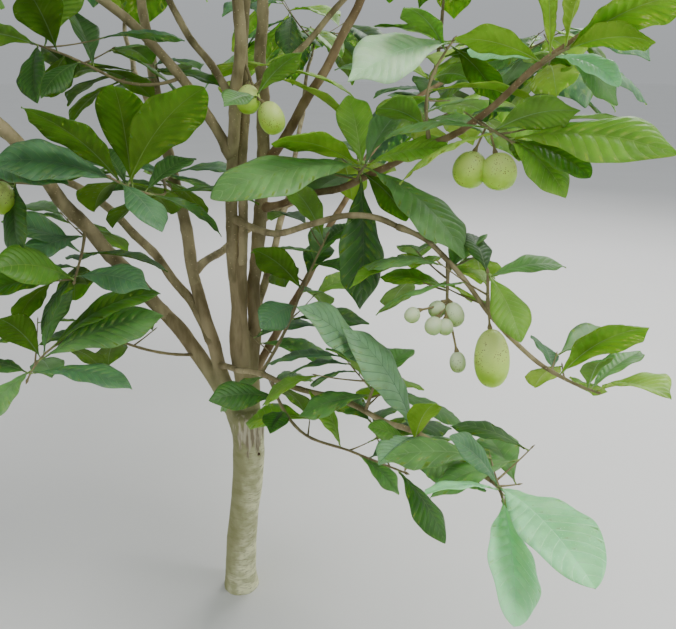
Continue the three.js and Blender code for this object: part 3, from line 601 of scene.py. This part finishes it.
class Crown:
    """The leaves, twigs and fruit of the whole crown, with the room that they take."""

    def __init__(self, paths):
        self.leaves, self.twigs, self.fruit = [], [], []
        self.limb_points = np.vstack([path.points for path in paths.values()])
        radii = [limb_radius(limb, paths[limb.name].shares) for limb in LIMBS]
        self.limb_gaps = np.concatenate(radii) + LIMB_GAP
        self.blades = []

    def clears_limbs(self, points):
        spans = np.linalg.norm(points[:, None] - self.limb_points[None], axis=2)
        return (spans >= self.limb_gaps).all()

    def is_free(self, blade):
        blades = np.array(self.blades)
        spans = np.linalg.norm(blades.mean(1) - blade.mean(0), axis=1)
        near = spans < (np.ptp(blades, 1).max(1) + np.ptp(blade, 0).max()) * NEAR_SHARE
        gaps = np.linalg.norm(blade[:, None] - blades[near].reshape(-1, 3), axis=2)
        return self.clears_limbs(blade) and gaps.min(initial=1) > LEAF_GAP

    def add_leaf(self, path, roll, shoot, tint):
        self.leaves.append((path, roll, self.region, shoot == LISTED_SHOOT, tint))
        self.blades.append(blade_samples(path, roll))

    def tint_of(self, shoot):
        """Most leaves of a shoot share a tint, and one in a few takes the next one."""
        palette = REGIONS[self.region][1].split()
        draw = np.random.default_rng(sum(map(ord, self.mass.name)) * 31 + shoot)
        place = int(draw.integers(len(palette)))
        stray = np.random.default_rng(len(self.leaves) + 5000).random() < STRAY_TINTS
        return palette[(place + stray) % len(palette)]

    def place_leaf(self, leaf, shoot, finer=True):
        """Adds a ruled leaf, turned by the least that clears everything, and says if any turn did."""
        foot, heading, rise, length, roll = leaf
        for turn in OTHER_LEAF_TURNS:
            path = leaf_path(foot, heading + turn, rise, length)
            blade, tip = blade_samples(path, roll), path.points[-1]
            in_reach = np.linalg.norm(tip - self.middle) < self.mass.reach and tip[2] > LOWEST_LEAF
            kept_out = not in_cad_box(blade) or finer and in_open_patch(blade)
            if in_reach and not kept_out and self.is_free(blade):
                self.add_leaf(path, roll, shoot, self.tint_of(shoot))
                return True
        return False

    def grow_twiglet(self, twiglet, leaves, shoot):
        """Adds a finer twig with its leaves, if it clears the limbs and any leaf finds room."""
        if self.clears_limbs(twiglet.points[TWIGLET_ROOT:]):
            if any([self.place_leaf(leaf, shoot) for leaf in leaves]):
                self.twigs.append((twiglet, TWIGLET_RADIUS))

    def used_share(self, twig):
        """How far along a twig its last leaf, fruit or finer twig leaves it."""
        feet = [entry[0].points[0] for entry in self.leaves + self.twigs if entry[0] is not twig]
        feet = np.array(feet + [foot for foot, _ in self.fruit])
        spans = np.linalg.norm(twig.points[:, None] - feet[None], axis=2)
        nearest = spans.argmin(0)[spans.min(0) < FOOT_GAP]
        return min(twig.shares[nearest].max(initial=0) + BARE_TIP, 1)


def blade_samples(path, roll):
    shares = np.linspace(0.2, 1, 9)
    half = leaf_outline(shares) * path.length * LEAF_WIDTH_SHARE
    sideways = (half[:, None] * np.linspace(-1, 1, 5))[..., None]
    return (path.at(shares)[:, None] + path.frame(shares, roll)[1][:, None] * sideways).reshape(-1, 3)


def in_cad_box(points):
    low, high = np.array(CAD_BOX)
    return ((points > low) & (points < high)).all()


def in_open_patch(points):
    """Whether any point would show inside an open patch of the photograph."""
    away = points - np.array(CAMERA_PLACE)
    depth = away @ direction_of(90, -CAMERA_PITCH)
    upward = away @ direction_of(90, 90 - CAMERA_PITCH)
    scale = PHOTO_WIDTH * CAMERA_LENS / CAMERA_SENSOR / np.maximum(depth, 0.1)
    across, down = PHOTO_WIDTH / 2 + away[:, 0] * scale, PHOTO_HEIGHT / 2 - upward * scale
    left, top, right, bottom = np.array(OPEN_PATCHES).T[..., None]
    return ((across > left) & (across < right) & (down > top) & (down < bottom)).any()


def region_of(mass_name):
    return next(region for region, (words, _) in REGIONS.items()
                if any(word in mass_name for word in words.split()))


def grow_listed(mass, stem, crown):
    for (share, heading, rise, length, *roll), tint in zip(mass.leaves, mass.tints.split()):
        crown.add_leaf(leaf_path(stem.at(share), heading, rise, length), sum(roll), LISTED_SHOOT, tint)
    crown.fruit += [(stem.at(share), measures) for share, *measures in mass.fruit]
    crown.twigs.append((stem, STEM_RADIUS))


def grow_ruled(mass, stem, crown):
    """The solids' own shoots first, then leaves between theirs and a finer twig on each shoot."""
    random, fine = seeded_random(mass.seed), seeded_random(mass.seed + 500)
    shoots = [*side_twigs(mass, stem, random), stem]
    for index, shoot in enumerate(shoots):
        crown.twigs.append((shoot, STEM_RADIUS if shoot is stem else TWIG_RADIUS))
        for leaf in ruled_leaves(shoot, LEAVES_PER_TWIG, 1, random):
            crown.place_leaf(leaf, index, finer=False)
    for index, shoot in enumerate(shoots):
        between = ruled_leaves(shoot, LEAVES_PER_TWIG, FINE_LEAF_SHARE, fine, BETWEEN_ZONE)
        for foot, heading, *rest in between:
            crown.place_leaf((foot, heading + 90, *rest), index)
        twiglet = twig_from(shoot, TWIGLET_AT, TWIG_SPREAD[0], (-1) ** index, 0.5 * next(fine),
                            shoot.length * TWIGLET_SHARE)
        leaves = ruled_leaves(twiglet, TWIGLET_LEAVES, FINE_LEAF_SHARE, fine)
        crown.grow_twiglet(twiglet, leaves, FIRST_TWIGLET_SHOOT + index)


def fill_behind(mass, stem, crown):
    """Smaller leaves on the far side of a listed mass, on its stem and on a few finer twigs."""
    fine = seeded_random(mass.seed + sum(map(ord, mass.name)))
    for leaf in leaves_behind(stem, fine):
        crown.place_leaf(leaf, 0)
    for index, share in enumerate(TWIGLETS_BEHIND, 1):
        twiglet = twiglet_behind(stem, share, fine)
        crown.grow_twiglet(twiglet, leaves_behind(twiglet, fine), index)


def grow_crown(paths):
    crown = Crown(paths)
    for grow, listed in ((grow_listed, True), (grow_ruled, False), (fill_behind, True)):
        for mass in MASSES:
            if bool(mass.leaves) == listed:
                stem = path_from(mass, paths, max(round(mass.length / STEM_STEP), 2))
                crown.mass, crown.middle, crown.region = mass, stem.at(0.5), region_of(mass.name)
                grow(mass, stem, crown)
    return crown


class Shape:
    """Gathers the corners and faces of one joined mesh."""

    def __init__(self):
        self.corners, self.faces, self.slots, self.smooth = [], [], [], []

    def add(self, corners, *blocks):
        """Adds corners, and blocks of faces, each with its material slots and whether it is smooth."""
        for faces, slots, smooth in blocks:
            self.faces += (faces + len(self.corners)).tolist()
            self.slots += np.broadcast_to(slots, len(faces)).tolist()
            self.smooth += [smooth] * len(faces)
        self.corners += corners.tolist()

    def build(self, name, looks, slot):
        mesh = bpy.data.meshes.new(name)
        mesh.from_pydata(self.corners, [], self.faces)
        mesh.polygons.foreach_set("material_index", self.slots)
        mesh.polygons.foreach_set("use_smooth", self.smooth)
        for look in looks:
            mesh.materials.append(look)
        piece = new_object(name, mesh)
        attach(piece, "root")
        return piece


def new_object(name, data):
    piece = bpy.data.objects.new(name, data)
    bpy.context.scene.collection.objects.link(piece)
    return piece


def add_tube(shape, path, shares, radii, sides, slot, lumps=1):
    """A closed tube along a path. Lumps scale the radius of each corner."""
    rows, around = len(shares), turns(sides)
    _, across, upward = path.frame(shares)
    ring = across[:, None] * np.cos(around)[:, None] + upward[:, None] * np.sin(around)[:, None]
    points = path.at(shares)
    corners = points[:, None] + ring * np.broadcast_to(radii[:, None] * lumps, (rows, sides))[..., None]
    row, side = np.arange(rows - 1)[:, None] * sides, np.arange(sides)
    after, last, end = (side + 1) % sides, (rows - 1) * sides, np.full(sides, rows * sides)
    wall = np.stack([row + side, row + after, row + sides + after, row + sides + side], -1).reshape(-1, 4)
    foot, tip = np.stack([after, side, end], -1), np.stack([last + side, last + after, end + 1], -1)
    shape.add(np.vstack([corners.reshape(-1, 3), points[0], points[-1]]),
              (wall, slot, True), (np.vstack([foot, tip]), slot, True))


def leaf_outline(share, bluntness=0.5):
    """Half the width of a blade, as a share of the leaf's whole width."""
    blade = np.clip((share - PETIOLE_SHARE) / (1 - PETIOLE_SHARE), 0, 1)
    fullness = FULLNESS - BLUNT_FULLNESS * bluntness * smooth_step(*BLUNT_ZONE, blade)
    body = np.maximum(np.sin(np.pi * blade ** WIDEST_POWER), 0) ** fullness
    return 0.5 * body * (1 - POINT_PINCH * (1 - bluntness) * smooth_step(*POINT_ZONE, blade))


def leaf_rows(veins, crests):
    """Where the rows of corners cross the midrib, and how far each stands up as a crest."""
    offsets = np.concatenate([[-VEIN_HALF, VEIN_HALF], np.linspace(0, 1, crests + 2)[1:-1]])
    heights = np.concatenate([[0, 0], np.ones(crests)])
    rows = (np.arange(1, veins + 1)[:, None] + offsets).ravel() / (veins + 1)
    kept = rows < POINT_ROWS[0] - 0.01
    crested = np.concatenate([ROOT_CRESTS, np.tile(heights, veins)[kept], POINT_CRESTS])
    return np.concatenate([ROOT_ROWS, rows[kept], POINT_ROWS]), crested


def add_leaf_blade(shape, path, roll, number, fine, tint):
    """A thin closed blade with its midrib and side veins, folded, waved and quilted."""
    draw = np.random.default_rng(number)
    fold, curl = draw.uniform(*LEAF_FOLD), draw.uniform(*LEAF_CURL)
    width = path.length * (LEAF_WIDTH_SHARE + LEAF_WIDTH_PLAY * draw.uniform(-1, 1))
    *counts, columns = FINE_LEAF if fine else PLAIN_LEAF
    rows, crests = leaf_rows(*counts)
    side, hand = np.array([*columns[::-1], *columns]), np.repeat((-1, 1), len(columns))
    slant = VEIN_SLANT * (4 * rows * (1 - rows))[:, None] * side
    share = PETIOLE_SHARE + (1 - PETIOLE_SHARE) * np.minimum(rows[:, None] + slant, 1)
    rib = RIB_WIDTH / 2 * (1 - RIB_TAPER * share)
    bluntness = BROAD_ENDED if tint in BROAD_TINTS else draw.uniform(*BLUNTNESS)
    half = np.maximum(leaf_outline(share, bluntness) * width, rib * 1.02)
    wave = np.sin(2 * np.pi * (draw.uniform(*LEAF_WAVES) * share + draw.random()) + hand)
    quilt = crests[:, None] * np.sin(np.pi * side) ** 0.6 * np.sin(np.pi * share) ** 0.5
    drop = draw.uniform(*TIP_DROP) * share ** 4
    height = half * (fold * side - curl * side ** 2)
    height += path.length * (LEAF_WAVE_SHARE * side ** 2 * wave + QUILT_SHARE * quilt - drop)
    _, across, upward = path.frame(share, roll + draw.uniform(-LEAF_TWIST, LEAF_TWIST) * share)
    sideways = hand * (rib + (half - rib) * side)
    top = path.at(share) + across * sideways[..., None] + upward * height[..., None]
    ridge = RIB_DEPTH * (1 - RIB_TAPER * share) * (side == 0)
    under = top - upward * (LEAF_THICKNESS + ridge)[..., None]
    add_sheets(shape, top, under, *leaf_slots(crests, len(side), TINT_SLOTS + list(TINTS).index(tint)))


def leaf_slots(crests, columns, blade):
    """The material of each face of the upper and the lower sheet, with veins in their own."""
    vein = blade + 2 * len(TINTS)
    upper = np.full((len(crests) - 1, columns - 1), blade)
    upper[(crests[:-1] == 0) & (crests[1:] == 0)] = vein
    lower = np.full(upper.shape, blade + len(TINTS))
    for sheet in (upper, lower):
        sheet[:, columns // 2 - 1] = vein
    return upper.ravel(), lower.ravel()


def add_sheets(shape, top, under, upper_slots, lower_slots):
    """Joins an upper and a lower sheet of corners into one closed body."""
    rows, columns = top.shape[:2]
    count = rows * columns
    place = np.arange(count).reshape(rows, columns)
    upper = np.stack([place[:-1, :-1], place[1:, :-1], place[1:, 1:], place[:-1, 1:]], -1).reshape(-1, 4)
    edge = np.concatenate([place[0, :-1], place[:-1, -1], place[-1, :0:-1], place[:0:-1, 0]])
    after = np.roll(edge, -1)
    rim = np.stack([edge, after, after + count, edge + count], -1)
    shape.add(np.vstack([top.reshape(-1, 3), under.reshape(-1, 3)]), (upper, upper_slots, True),
              (upper[:, ::-1] + count, lower_slots, True), (rim, lower_slots.min(), False))


def make_leaves(crown, looks):
    """One joined piece of leaves and their stalks for each side of the crown."""
    shapes = {region: Shape() for region in REGIONS}
    for number, (path, roll, region, fine, tint) in enumerate(crown.leaves):
        add_leaf_blade(shapes[region], path, roll, number, fine, tint)
        shares = np.linspace(0, PETIOLE_SHARE + 0.03, 4)
        add_tube(shapes[region], path, shares, np.array(PETIOLE_RADII), PETIOLE_SIDES, STALK_SLOT)
    for region, shape in shapes.items():
        piece = shape.build("foliage_" + region, looks, "leaf")
        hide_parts(*(mass.name for mass in MASSES if region_of(mass.name) == region
                             and not mass.name.startswith("fruit")))


def make_twigs(crown, look):
    """Stems, side twigs and twiglets, each ending in a bud just past its last leaf."""
    shape = Shape()
    for path, radius in crown.twigs:
        end = crown.used_share(path)
        rings = max(round(path.length * end / TWIG_RING), 6)
        shares = np.linspace(0, end, rings)
        radii = radius * (1 - TWIG_TAPER * shares / end)
        nodes = 1 + TWIG_NODE * np.maximum(np.sin(np.arange(rings) * 2.1), 0) ** 3
        add_tube(shape, path, shares, radii * nodes, TWIG_SIDES, 0)
        along = path.along(end)
        bud = straight_path(path.at(end) - along * 0.001, *angles_of(along), BUD_LENGTH)
        add_tube(shape, bud, np.linspace(0, 1, 6), radii[-1] * np.array(BUD_GIRTHS), TWIG_SIDES, 0)
    shape.build("twigs", [look], "young_bark")


def make_boughs(paths, looks):
    shape = Shape()
    for number, limb in enumerate(LIMBS[1:]):
        path = paths[limb.name]
        begin = LEADER_BLEND[0] / limb.length if limb.name in LEADERS else 0
        shares = np.linspace(begin, 1, max(round(limb.length * (1 - begin) / BOUGH_RING), 12))
        radii = limb_radius(limb, shares) * bough_swell(limb, shares * limb.length)
        slot = int(limb.name in PINK_BOUGHS)
        add_tube(shape, path, shares, radii, BOUGH_SIDES, slot, bough_lumps(path, shares, number))
    piece = shape.build("boughs", looks, "young_bark")
    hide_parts(*(limb.name for limb in LIMBS[1:]))


def bough_swell(limb, place):
    """A leader rises out of the fork's surface, and any other bough has a collar at its foot."""
    if limb.name in LEADERS:
        return 1 - LEADER_SINK * (1 - smooth_step(*LEADER_BLEND, place))
    parent = next(other for other in LIMBS if other.name == limb.on)
    foot = limb_radius(parent, limb.at)
    return 1 + COLLAR * bell(np.maximum(place, foot), foot, COLLAR_LENGTH)


def bough_lumps(path, shares, seed):
    """How much each corner of a bough stands out: knobs at its nodes and an uneven girth."""
    place = shares * path.length
    grain = np.array([[noise.noise((math.cos(turn), math.sin(turn), along * 16 + seed * 7))
                       for turn in turns(BOUGH_SIDES)] for along in place])
    knobs = NODE_SPACING * (np.arange(int(path.length / NODE_SPACING)) + 0.5 + 0.3 * np.sin(seed))
    return 1 + GIRTH_PLAY * grain + NODE_SWELL * bell(place[:, None], knobs, NODE_LENGTH).sum(1)[:, None]


def make_fork(paths, looks):
    """The trunk and the first stretch of its leaders as one surface, cut flat at the ground."""
    shape = Shape()
    trunk = paths["trunk"]
    under = straight_path((0, 0, -0.03), 0, 90, 0.031)
    add_tube(shape, under, np.array([0, 0.5, 1]), trunk_radius(np.zeros(3)), TRUNK_SIDES, 0)
    shares = np.linspace(0, 1, 80)
    add_tube(shape, trunk, shares, trunk_radius(shares), TRUNK_SIDES, 0)
    for limb in LIMBS:
        if limb.name in LEADERS:
            add_stub(shape, limb, paths[limb.name])
    fork = shape.build("fork", looks, "bark")
    remesh(fork)
    surface = bmesh.new()
    surface.from_mesh(fork.data)
    smooth_fork(surface)
    roughen_bark(surface, trunk)
    cut_at_ground(surface)
    surface.to_mesh(fork.data)
    surface.free()
    fork.data.shade_smooth()
    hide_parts("trunk")


def add_stub(shape, limb, path):
    """A leader's foot, which narrows just before it ends inside the leader's own tube."""
    shares = np.linspace(0, LEADER_BLEND[1] / limb.length, 50)
    place = shares * limb.length
    narrowing = 1 - LEADER_SINK * smooth_step(*LEADER_BLEND, place)
    collar = 1 + FORK_SWELL * bell(np.maximum(place, FORK_COLLAR), FORK_COLLAR, FORK_COLLAR)
    add_tube(shape, path, shares, limb_radius(limb, shares) * narrowing * collar, STUB_SIDES, 0)


def remesh(piece):
    modifier = piece.modifiers.new("join", "REMESH")
    modifier.mode, modifier.voxel_size = "VOXEL", BARK_VOXEL
    joined = piece.evaluated_get(bpy.context.evaluated_depsgraph_get())
    mesh = bpy.data.meshes.new_from_object(joined)
    piece.modifiers.clear()
    piece.data = mesh


def smooth_fork(surface):
    axes = {"use_axis_x": True, "use_axis_y": True, "use_axis_z": True}
    for low, high, passes in SMOOTHINGS:
        verts = [vert for vert in surface.verts if low < vert.co.z < high]
        for _ in range(passes):
            bmesh.ops.smooth_vert(surface, verts=verts, factor=0.5, **axes)


def relief(point, across, upright, height):
    x, y, z = point
    return height * noise.noise((x * across, y * across, z * upright))


def roughen_bark(surface, trunk):
    """Shallow flutes and lumps, wrinkles round the fork, and a healed knot below it."""
    surface.normal_update()
    knot = bark_place(trunk, *KNOT_AT)
    for vert in surface.verts:
        wrinkling = 1.35 - min(abs(vert.co.z - FORK_HEIGHT) / 0.1, 1)
        lift = relief(vert.co, *LUMPS) + relief(vert.co, *FLUTES) + relief(vert.co, *WRINKLES) * wrinkling
        vert.co += vert.normal * (lift + knot_lift(vert.co, knot))
    for face in surface.faces:
        face.material_index = int(knot_lift(face.calc_center_median(), knot) < -KNOT_DEPTH / 3)


def bark_place(trunk, height, heading):
    share = height / trunk.length
    return trunk.at(share) + direction_of(heading, 0) * trunk_radius(share)


def knot_lift(point, middle):
    """The knot is a small hollow inside a rolled lip."""
    away = np.array(point) - middle
    sideways = abs(float(away @ direction_of(KNOT_AT[1] + 90, 0))) / KNOT_SIZE[0]
    reach = math.hypot(sideways, float(away[2]) / KNOT_SIZE[1])
    if reach > 2.5 or np.linalg.norm(away) > 4 * KNOT_SIZE[1]:
        return 0
    return KNOT_LIP * bell(reach, 1.3, 0.4) - KNOT_DEPTH * max(1 - reach ** 2, 0)


def cut_at_ground(surface):
    everything = [*surface.verts, *surface.edges, *surface.faces]
    cut = bmesh.ops.bisect_plane(surface, geom=everything, plane_co=(0, 0, 0), plane_no=(0, 0, 1),
                                 clear_inner=True)
    rim = [part for part in cut["geom_cut"] if isinstance(part, bmesh.types.BMEdge)]
    bmesh.ops.contextual_create(surface, geom=rim)


def make_fruit(crown, looks):
    """Each fruit hangs from its stalk, which swells where it meets the fruit's neck."""
    shape = Shape()
    for number, (foot, (heading, rise, stalk, length, width)) in enumerate(crown.fruit):
        path = straight_path(foot, heading, rise, stalk + length * STALK_SINK)
        shares = np.linspace(0, 1, STALK_RINGS)
        radii = STALK_RADIUS * (1 + NECK_SWELL * bell(shares * path.length, stalk, NECK_LENGTH))
        add_tube(shape, path, shares, radii, STALK_SIDES, 2)
        hanging = direction_of(heading, rise) * (1 - FRUIT_HANG) + np.array((0, 0, -1)) * FRUIT_HANG
        hanging /= np.linalg.norm(hanging)
        start = path.at(1.0) + hanging * length * (FRUIT_DROP - 0.5)
        add_fruit_body(shape, start, angles_of(hanging), length, width, number)
    piece = shape.build("fruit", looks, "fruit")
    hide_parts("fruit_cluster", "fruit_high_twig")


def add_fruit_body(shape, start, angles, length, width, number):
    """An egg-shaped body, fuller towards its end and slightly bent, with a shallow groove."""
    draw = np.random.default_rng(number + 900)
    axis = straight_path(start, *angles, length, 4, draw.uniform(-FRUIT_BEND, FRUIT_BEND))
    shares = 0.5 - 0.5 * np.cos(np.linspace(0, math.pi, FRUIT_RINGS))
    barrel = np.maximum(4 * shares * (1 - shares), 0) ** FRUIT_BLUNTNESS
    profile = barrel * (1 + FRUIT_FULL_END * (shares - 0.5)) * width / 2
    groove = 1 - 0.05 * bell(np.sin((turns(FRUIT_SIDES) - draw.uniform(0, 6)) / 2), 0, 0.12)
    slot = int(length <= YOUNG_FRUIT)
    add_tube(shape, axis, shares, np.maximum(profile, 0.0004), FRUIT_SIDES, slot, groove)


def add_node(tree, kind, inputs, **settings):
    node = tree.nodes.new("ShaderNode" + kind)
    for setting, value in settings.items():
        setattr(node, setting, value)
    for socket, value in inputs.items():
        if isinstance(value, bpy.types.NodeSocket):
            tree.links.new(value, node.inputs[socket])
        else:
            node.inputs[socket].default_value = value
    return node


class Look:
    """A procedural material, built node by node on the object's own coordinates."""

    def __init__(self, name, **sockets):
        self.material = bpy.data.materials.new(name)
        self.material.use_nodes = True
        self.shader = self.material.node_tree.nodes["Principled BSDF"]
        coordinates = self.add("TexCoord", {}).outputs
        self.place, self.facing = coordinates["Object"], coordinates["Normal"]
        for socket, value in sockets.items():
            self.shader.inputs[socket.replace("_", " ")].default_value = value

    def add(self, kind, inputs, **settings):
        return add_node(self.material.node_tree, kind, inputs, **settings)

    def combine(self, operation, first, second, kind="Math"):
        return self.add(kind, {0: first, 1: second}, operation=operation).outputs["Value"]

    def squeezed(self, upright):
        return self.add("Mapping", {"Vector": self.place, "Scale": (1, 1, upright)}).outputs[0]

    def noise(self, scale, upright, detail, low=0, high=0, start=0.0, end=1.0):
        """Noise, squeezed upright or drawn out, and spread out if low and high are given."""
        inputs = {"Vector": self.squeezed(upright), "Scale": scale, "Detail": detail}
        grain = self.add("TexNoise", inputs).outputs["Fac"]
        return self.spread(grain, low, high, start, end) if high else grain

    def spots(self, scale, size):
        cells = self.add("TexVoronoi", {"Vector": self.place, "Scale": scale}).outputs["Distance"]
        return self.spread(cells, size, size * 0.5)

    def spread(self, value, low, high, start=0.0, end=1.0):
        inputs = {"Value": value, "From Min": low, "From Max": high, "To Min": start, "To Max": end}
        return self.add("MapRange", inputs, interpolation_type="SMOOTHSTEP").outputs[0]

    def along(self, value, direction):
        """How far a place lies along a direction, or how squarely a surface faces it."""
        return self.combine("DOT_PRODUCT", value, direction, "VectorMath")

    def near(self, place, width, height):
        """1 round a place, fading out with a ragged edge."""
        upright = width / height
        middle = tuple(place * (1, 1, upright))
        away = self.combine("DISTANCE", self.squeezed(upright), middle, "VectorMath")
        ragged = self.noise(110, 0.25, 4.0, 0.3, 0.7, 0, width)
        return self.spread(self.combine("ADD", away, ragged), width * 1.2, width * 1.7, 1, 0)

    def blend(self, factor, first, second):
        colours = [(*value, 1.0) if isinstance(value, tuple) else value for value in (first, second)]
        return self.add("Mix", {"Factor": factor, 6: colours[0], 7: colours[1]}, data_type="RGBA").outputs[2]

    def finish(self, colour, *reliefs):
        """Wires in the colour and the reliefs, each a height, a strength and a depth in metres."""
        links = self.material.node_tree.links
        links.new(colour, self.shader.inputs["Base Color"])
        bumped = {}
        for height, strength, depth in reliefs:
            inputs = {"Height": height, "Strength": strength, "Distance": depth, **bumped}
            bumped = {"Normal": self.add("Bump", inputs).outputs["Normal"]}
            links.new(bumped["Normal"], self.shader.inputs["Normal"])
        return self.material


def scaled(colour, amount):
    return tuple(min(part * amount, 1) for part in colour)


def bark_look(worn_place):
    """Grey-green bark with level lines and painted shade darkening one side, worn to bare wood in one place.
    """
    look = Look("bark", Roughness=0.82, Specular_IOR_Level=0.3)
    patches = look.noise(30, 1.6, 8.0, 0.36, 0.62)
    pale = look.blend(patches, (0.52, 0.53, 0.29), (0.86, 0.86, 0.54))
    ragged = look.noise(22, 0.4, 6.0, 0.3, 0.7, -0.015, 0.015)
    # Painted shade: the bark darkens to dark olive on its -X side, reaching further round towards the fork.
    shaded = look.combine("ADD", look.along(look.place, SHADED_SIDE), ragged)
    green = look.blend(look.spread(shaded, *SHADED_ZONE, 0.85, 0), pale, (0.20, 0.20, 0.075))
    lines = look.noise(76, 5, 7.0, 0.5, 0.74)
    lined = look.blend(lines, green, (0.31, 0.29, 0.16))
    streaks = look.noise(40, 0.25, 4.0, 0.3, 0.7)
    leader = look.blend(streaks, (0.18, 0.14, 0.065), (0.42, 0.34, 0.19))
    grain = look.noise(150, 0.1, 6.0, 0.42, 0.6)
    wood = look.blend(grain, (0.24, 0.20, 0.13), (0.52, 0.48, 0.34))
    above_fork = look.spread(look.along(look.place, (0, 0, 1)), 0.45, 0.62)
    colour = look.blend(look.near(worn_place, *WORN_SIZE), look.blend(above_fork, lined, leader), wood)
    fine = look.noise(180, 2.2, 6.0)
    return look.finish(colour, (lines, 0.35, 0.0005), (fine, 0.35, 0.0006), (grain, 0.25, 0.0008))


def young_bark_look(name, dark, pale):
    look = Look(name, Roughness=0.7, Specular_IOR_Level=0.35)
    streaks = look.noise(38, 0.4, 6.0, 0.3, 0.7)
    dots = look.spots(150, 0.16)
    colour = look.blend(dots, look.blend(streaks, dark, pale), scaled(pale, 1.6))
    return look.finish(colour, (dots, 0.4, 0.0005), (look.noise(210, 1.5, 5.0), 0.3, 0.0005))


def plain_look(name, dark, pale, scale, detail, low, high, relief=(), **sockets):
    """Two colours in patches, with a relief of the same grain if one is given."""
    look = Look(name, **sockets)
    grain = look.noise(scale, 1, detail, low, high)
    return look.finish(look.blend(grain, dark, pale), *((grain, *entry) for entry in relief))


def blade_look(name, tint, roughness, shine):
    """A leaf's skin, with cloudy patches and a fine grain."""
    look = Look(name, Roughness=roughness, Specular_IOR_Level=shine, Subsurface_Weight=0.35,
                Subsurface_Scale=0.004, Subsurface_Radius=(0.5, 1.0, 0.15))
    clouds = look.noise(22, 1, 5.0, 0.3, 0.7)
    colour = look.blend(clouds, scaled(tint, 0.78), scaled(tint, 1.2))
    grain = look.noise(420, 1, 4.0)
    speckled = look.blend(look.spread(grain, 0.62, 0.75), colour, scaled(tint, 1.45))
    return look.finish(speckled, (grain, 0.25, 0.0004))


def vein_look(name, tint):
    return plain_look(name, scaled(tint, 0.8), scaled(tint, 1.15), 90, 3.0, 0.3, 0.7,
                      Roughness=0.5, Specular_IOR_Level=0.35)


def fruit_look(name, dark, pale, painted_top_light):
    """Waxy green skin, paler on its upper side as painted light, bruised with brown specks in places."""
    look = Look(name, Roughness=0.42, Specular_IOR_Level=0.28, Subsurface_Weight=0.15,
                Subsurface_Scale=0.006, Coat_Weight=0.15, Coat_Roughness=0.25)
    green = look.blend(look.noise(24, 1, 3.0, 0.3, 0.7), dark, pale)
    # Painted light: the skin turns paler the more it faces up.
    upper = look.spread(look.along(look.facing, (0, 0, 1)), -0.35, 0.75, 0, 0.8)
    stains = look.noise(34, 1, 5.0, 0.6, 0.74, 0, 0.5)
    skin = look.blend(stains, look.blend(upper, green, painted_top_light), (0.34, 0.32, 0.09))
    bruised = look.noise(48, 1, 3.0, 0.5, 0.64)
    specks = look.combine("MULTIPLY", look.spots(330, 0.34), bruised)
    wax = look.noise(300, 1, 5.0)
    return look.finish(look.blend(specks, skin, (0.13, 0.08, 0.035)), (wax, 0.15, 0.0003))


def leaf_looks():
    """The leaf stalks, then each tint's upper side, then its underside, then its veins."""
    looks = [vein_look("leaf_stalk", (0.25, 0.36, 0.10))]
    looks += [blade_look("leaf_" + name, colours[0], 0.5, 0.32) for name, colours in TINTS.items()]
    looks += [blade_look("leaf_under_" + name, colours[1], 0.65, 0.12) for name, colours in TINTS.items()]
    return looks + [vein_look("leaf_vein_" + name, colours[2]) for name, colours in TINTS.items()]


def make_stage():
    shape = Shape()
    rim = np.arange(STAGE_SIDES)
    shape.add(direction_of(rim * 360 / STAGE_SIDES, 0) * STAGE_RADIUS, (rim[None], 0, False))
    look = plain_look("floor", (0.66, 0.65, 0.62), (0.72, 0.71, 0.69), 1.5, 3.0, 0, 0, Roughness=0.9)
    floor = shape.build("floor", [look], "bark")


def make_lights():
    """Soft lights, and a pale sky as bright as the floor where they meet."""
    for name, place, power, size in LIGHTS:
        light = bpy.data.lights.new(name, "AREA")
        light.energy, light.size = power, size
        lamp = new_object(name, light)
        lamp.location = place
        lamp.rotation_euler = (Vector(LIGHT_AIM) - Vector(place)).to_track_quat("-Z", "Y").to_euler()
    world = bpy.context.scene.world or bpy.data.worlds.new("studio")
    bpy.context.scene.world = world
    world.use_nodes = True
    tree = world.node_tree
    direction = add_node(tree, "TexCoord", {}).outputs["Generated"]
    height = add_node(tree, "SeparateXYZ", {0: direction}).outputs["Z"]
    ramp = add_node(tree, "ValToRGB", {"Fac": height})
    for element, (place, tint) in zip(ramp.color_ramp.elements, SKY):
        element.position, element.color = place, (*tint, 1)
    background = tree.nodes["Background"]
    background.inputs["Strength"].default_value = WORLD_STRENGTH
    tree.links.new(ramp.outputs["Color"], background.inputs["Color"])


def make_camera():
    lens = bpy.data.cameras.new("camera")
    lens.lens, lens.sensor_width = CAMERA_LENS, CAMERA_SENSOR
    camera = new_object("camera", lens)
    camera.location = CAMERA_PLACE
    camera.rotation_euler = (math.radians(90 - CAMERA_PITCH), 0, 0)
    bpy.context.scene.camera = camera


make_camera()
make_stage()
make_lights()
paths = limb_paths()
worn_place = bark_place(paths["trunk"], *WORN_AT)
knot_look = plain_look("knot", (0.045, 0.025, 0.013), (0.11, 0.07, 0.04), 200, 6.0, 0.4, 0.62,
                       [(0.8, 0.001)], Roughness=0.9, Specular_IOR_Level=0.2)
make_fork(paths, [bark_look(worn_place), knot_look])
olive_bark = young_bark_look("olive_bark", (0.18, 0.145, 0.065), (0.46, 0.38, 0.21))
pink_bark = young_bark_look("pink_bark", (0.17, 0.105, 0.045), (0.36, 0.26, 0.14))
make_boughs(paths, [olive_bark, pink_bark])
crown = grow_crown(paths)
make_leaves(crown, leaf_looks())
make_twigs(crown, young_bark_look("stem_bark", (0.16, 0.13, 0.06), (0.31, 0.26, 0.13)))
ripe_skin = fruit_look("ripe_skin", (0.38, 0.66, 0.03), (0.64, 0.96, 0.11), (0.88, 1.0, 0.34))
young_skin = fruit_look("young_skin", (0.36, 0.53, 0.15), (0.56, 0.74, 0.30), (0.88, 0.98, 0.66))
make_fruit(crown, [ripe_skin, young_skin, vein_look("fruit_stalk", (0.26, 0.21, 0.09))])
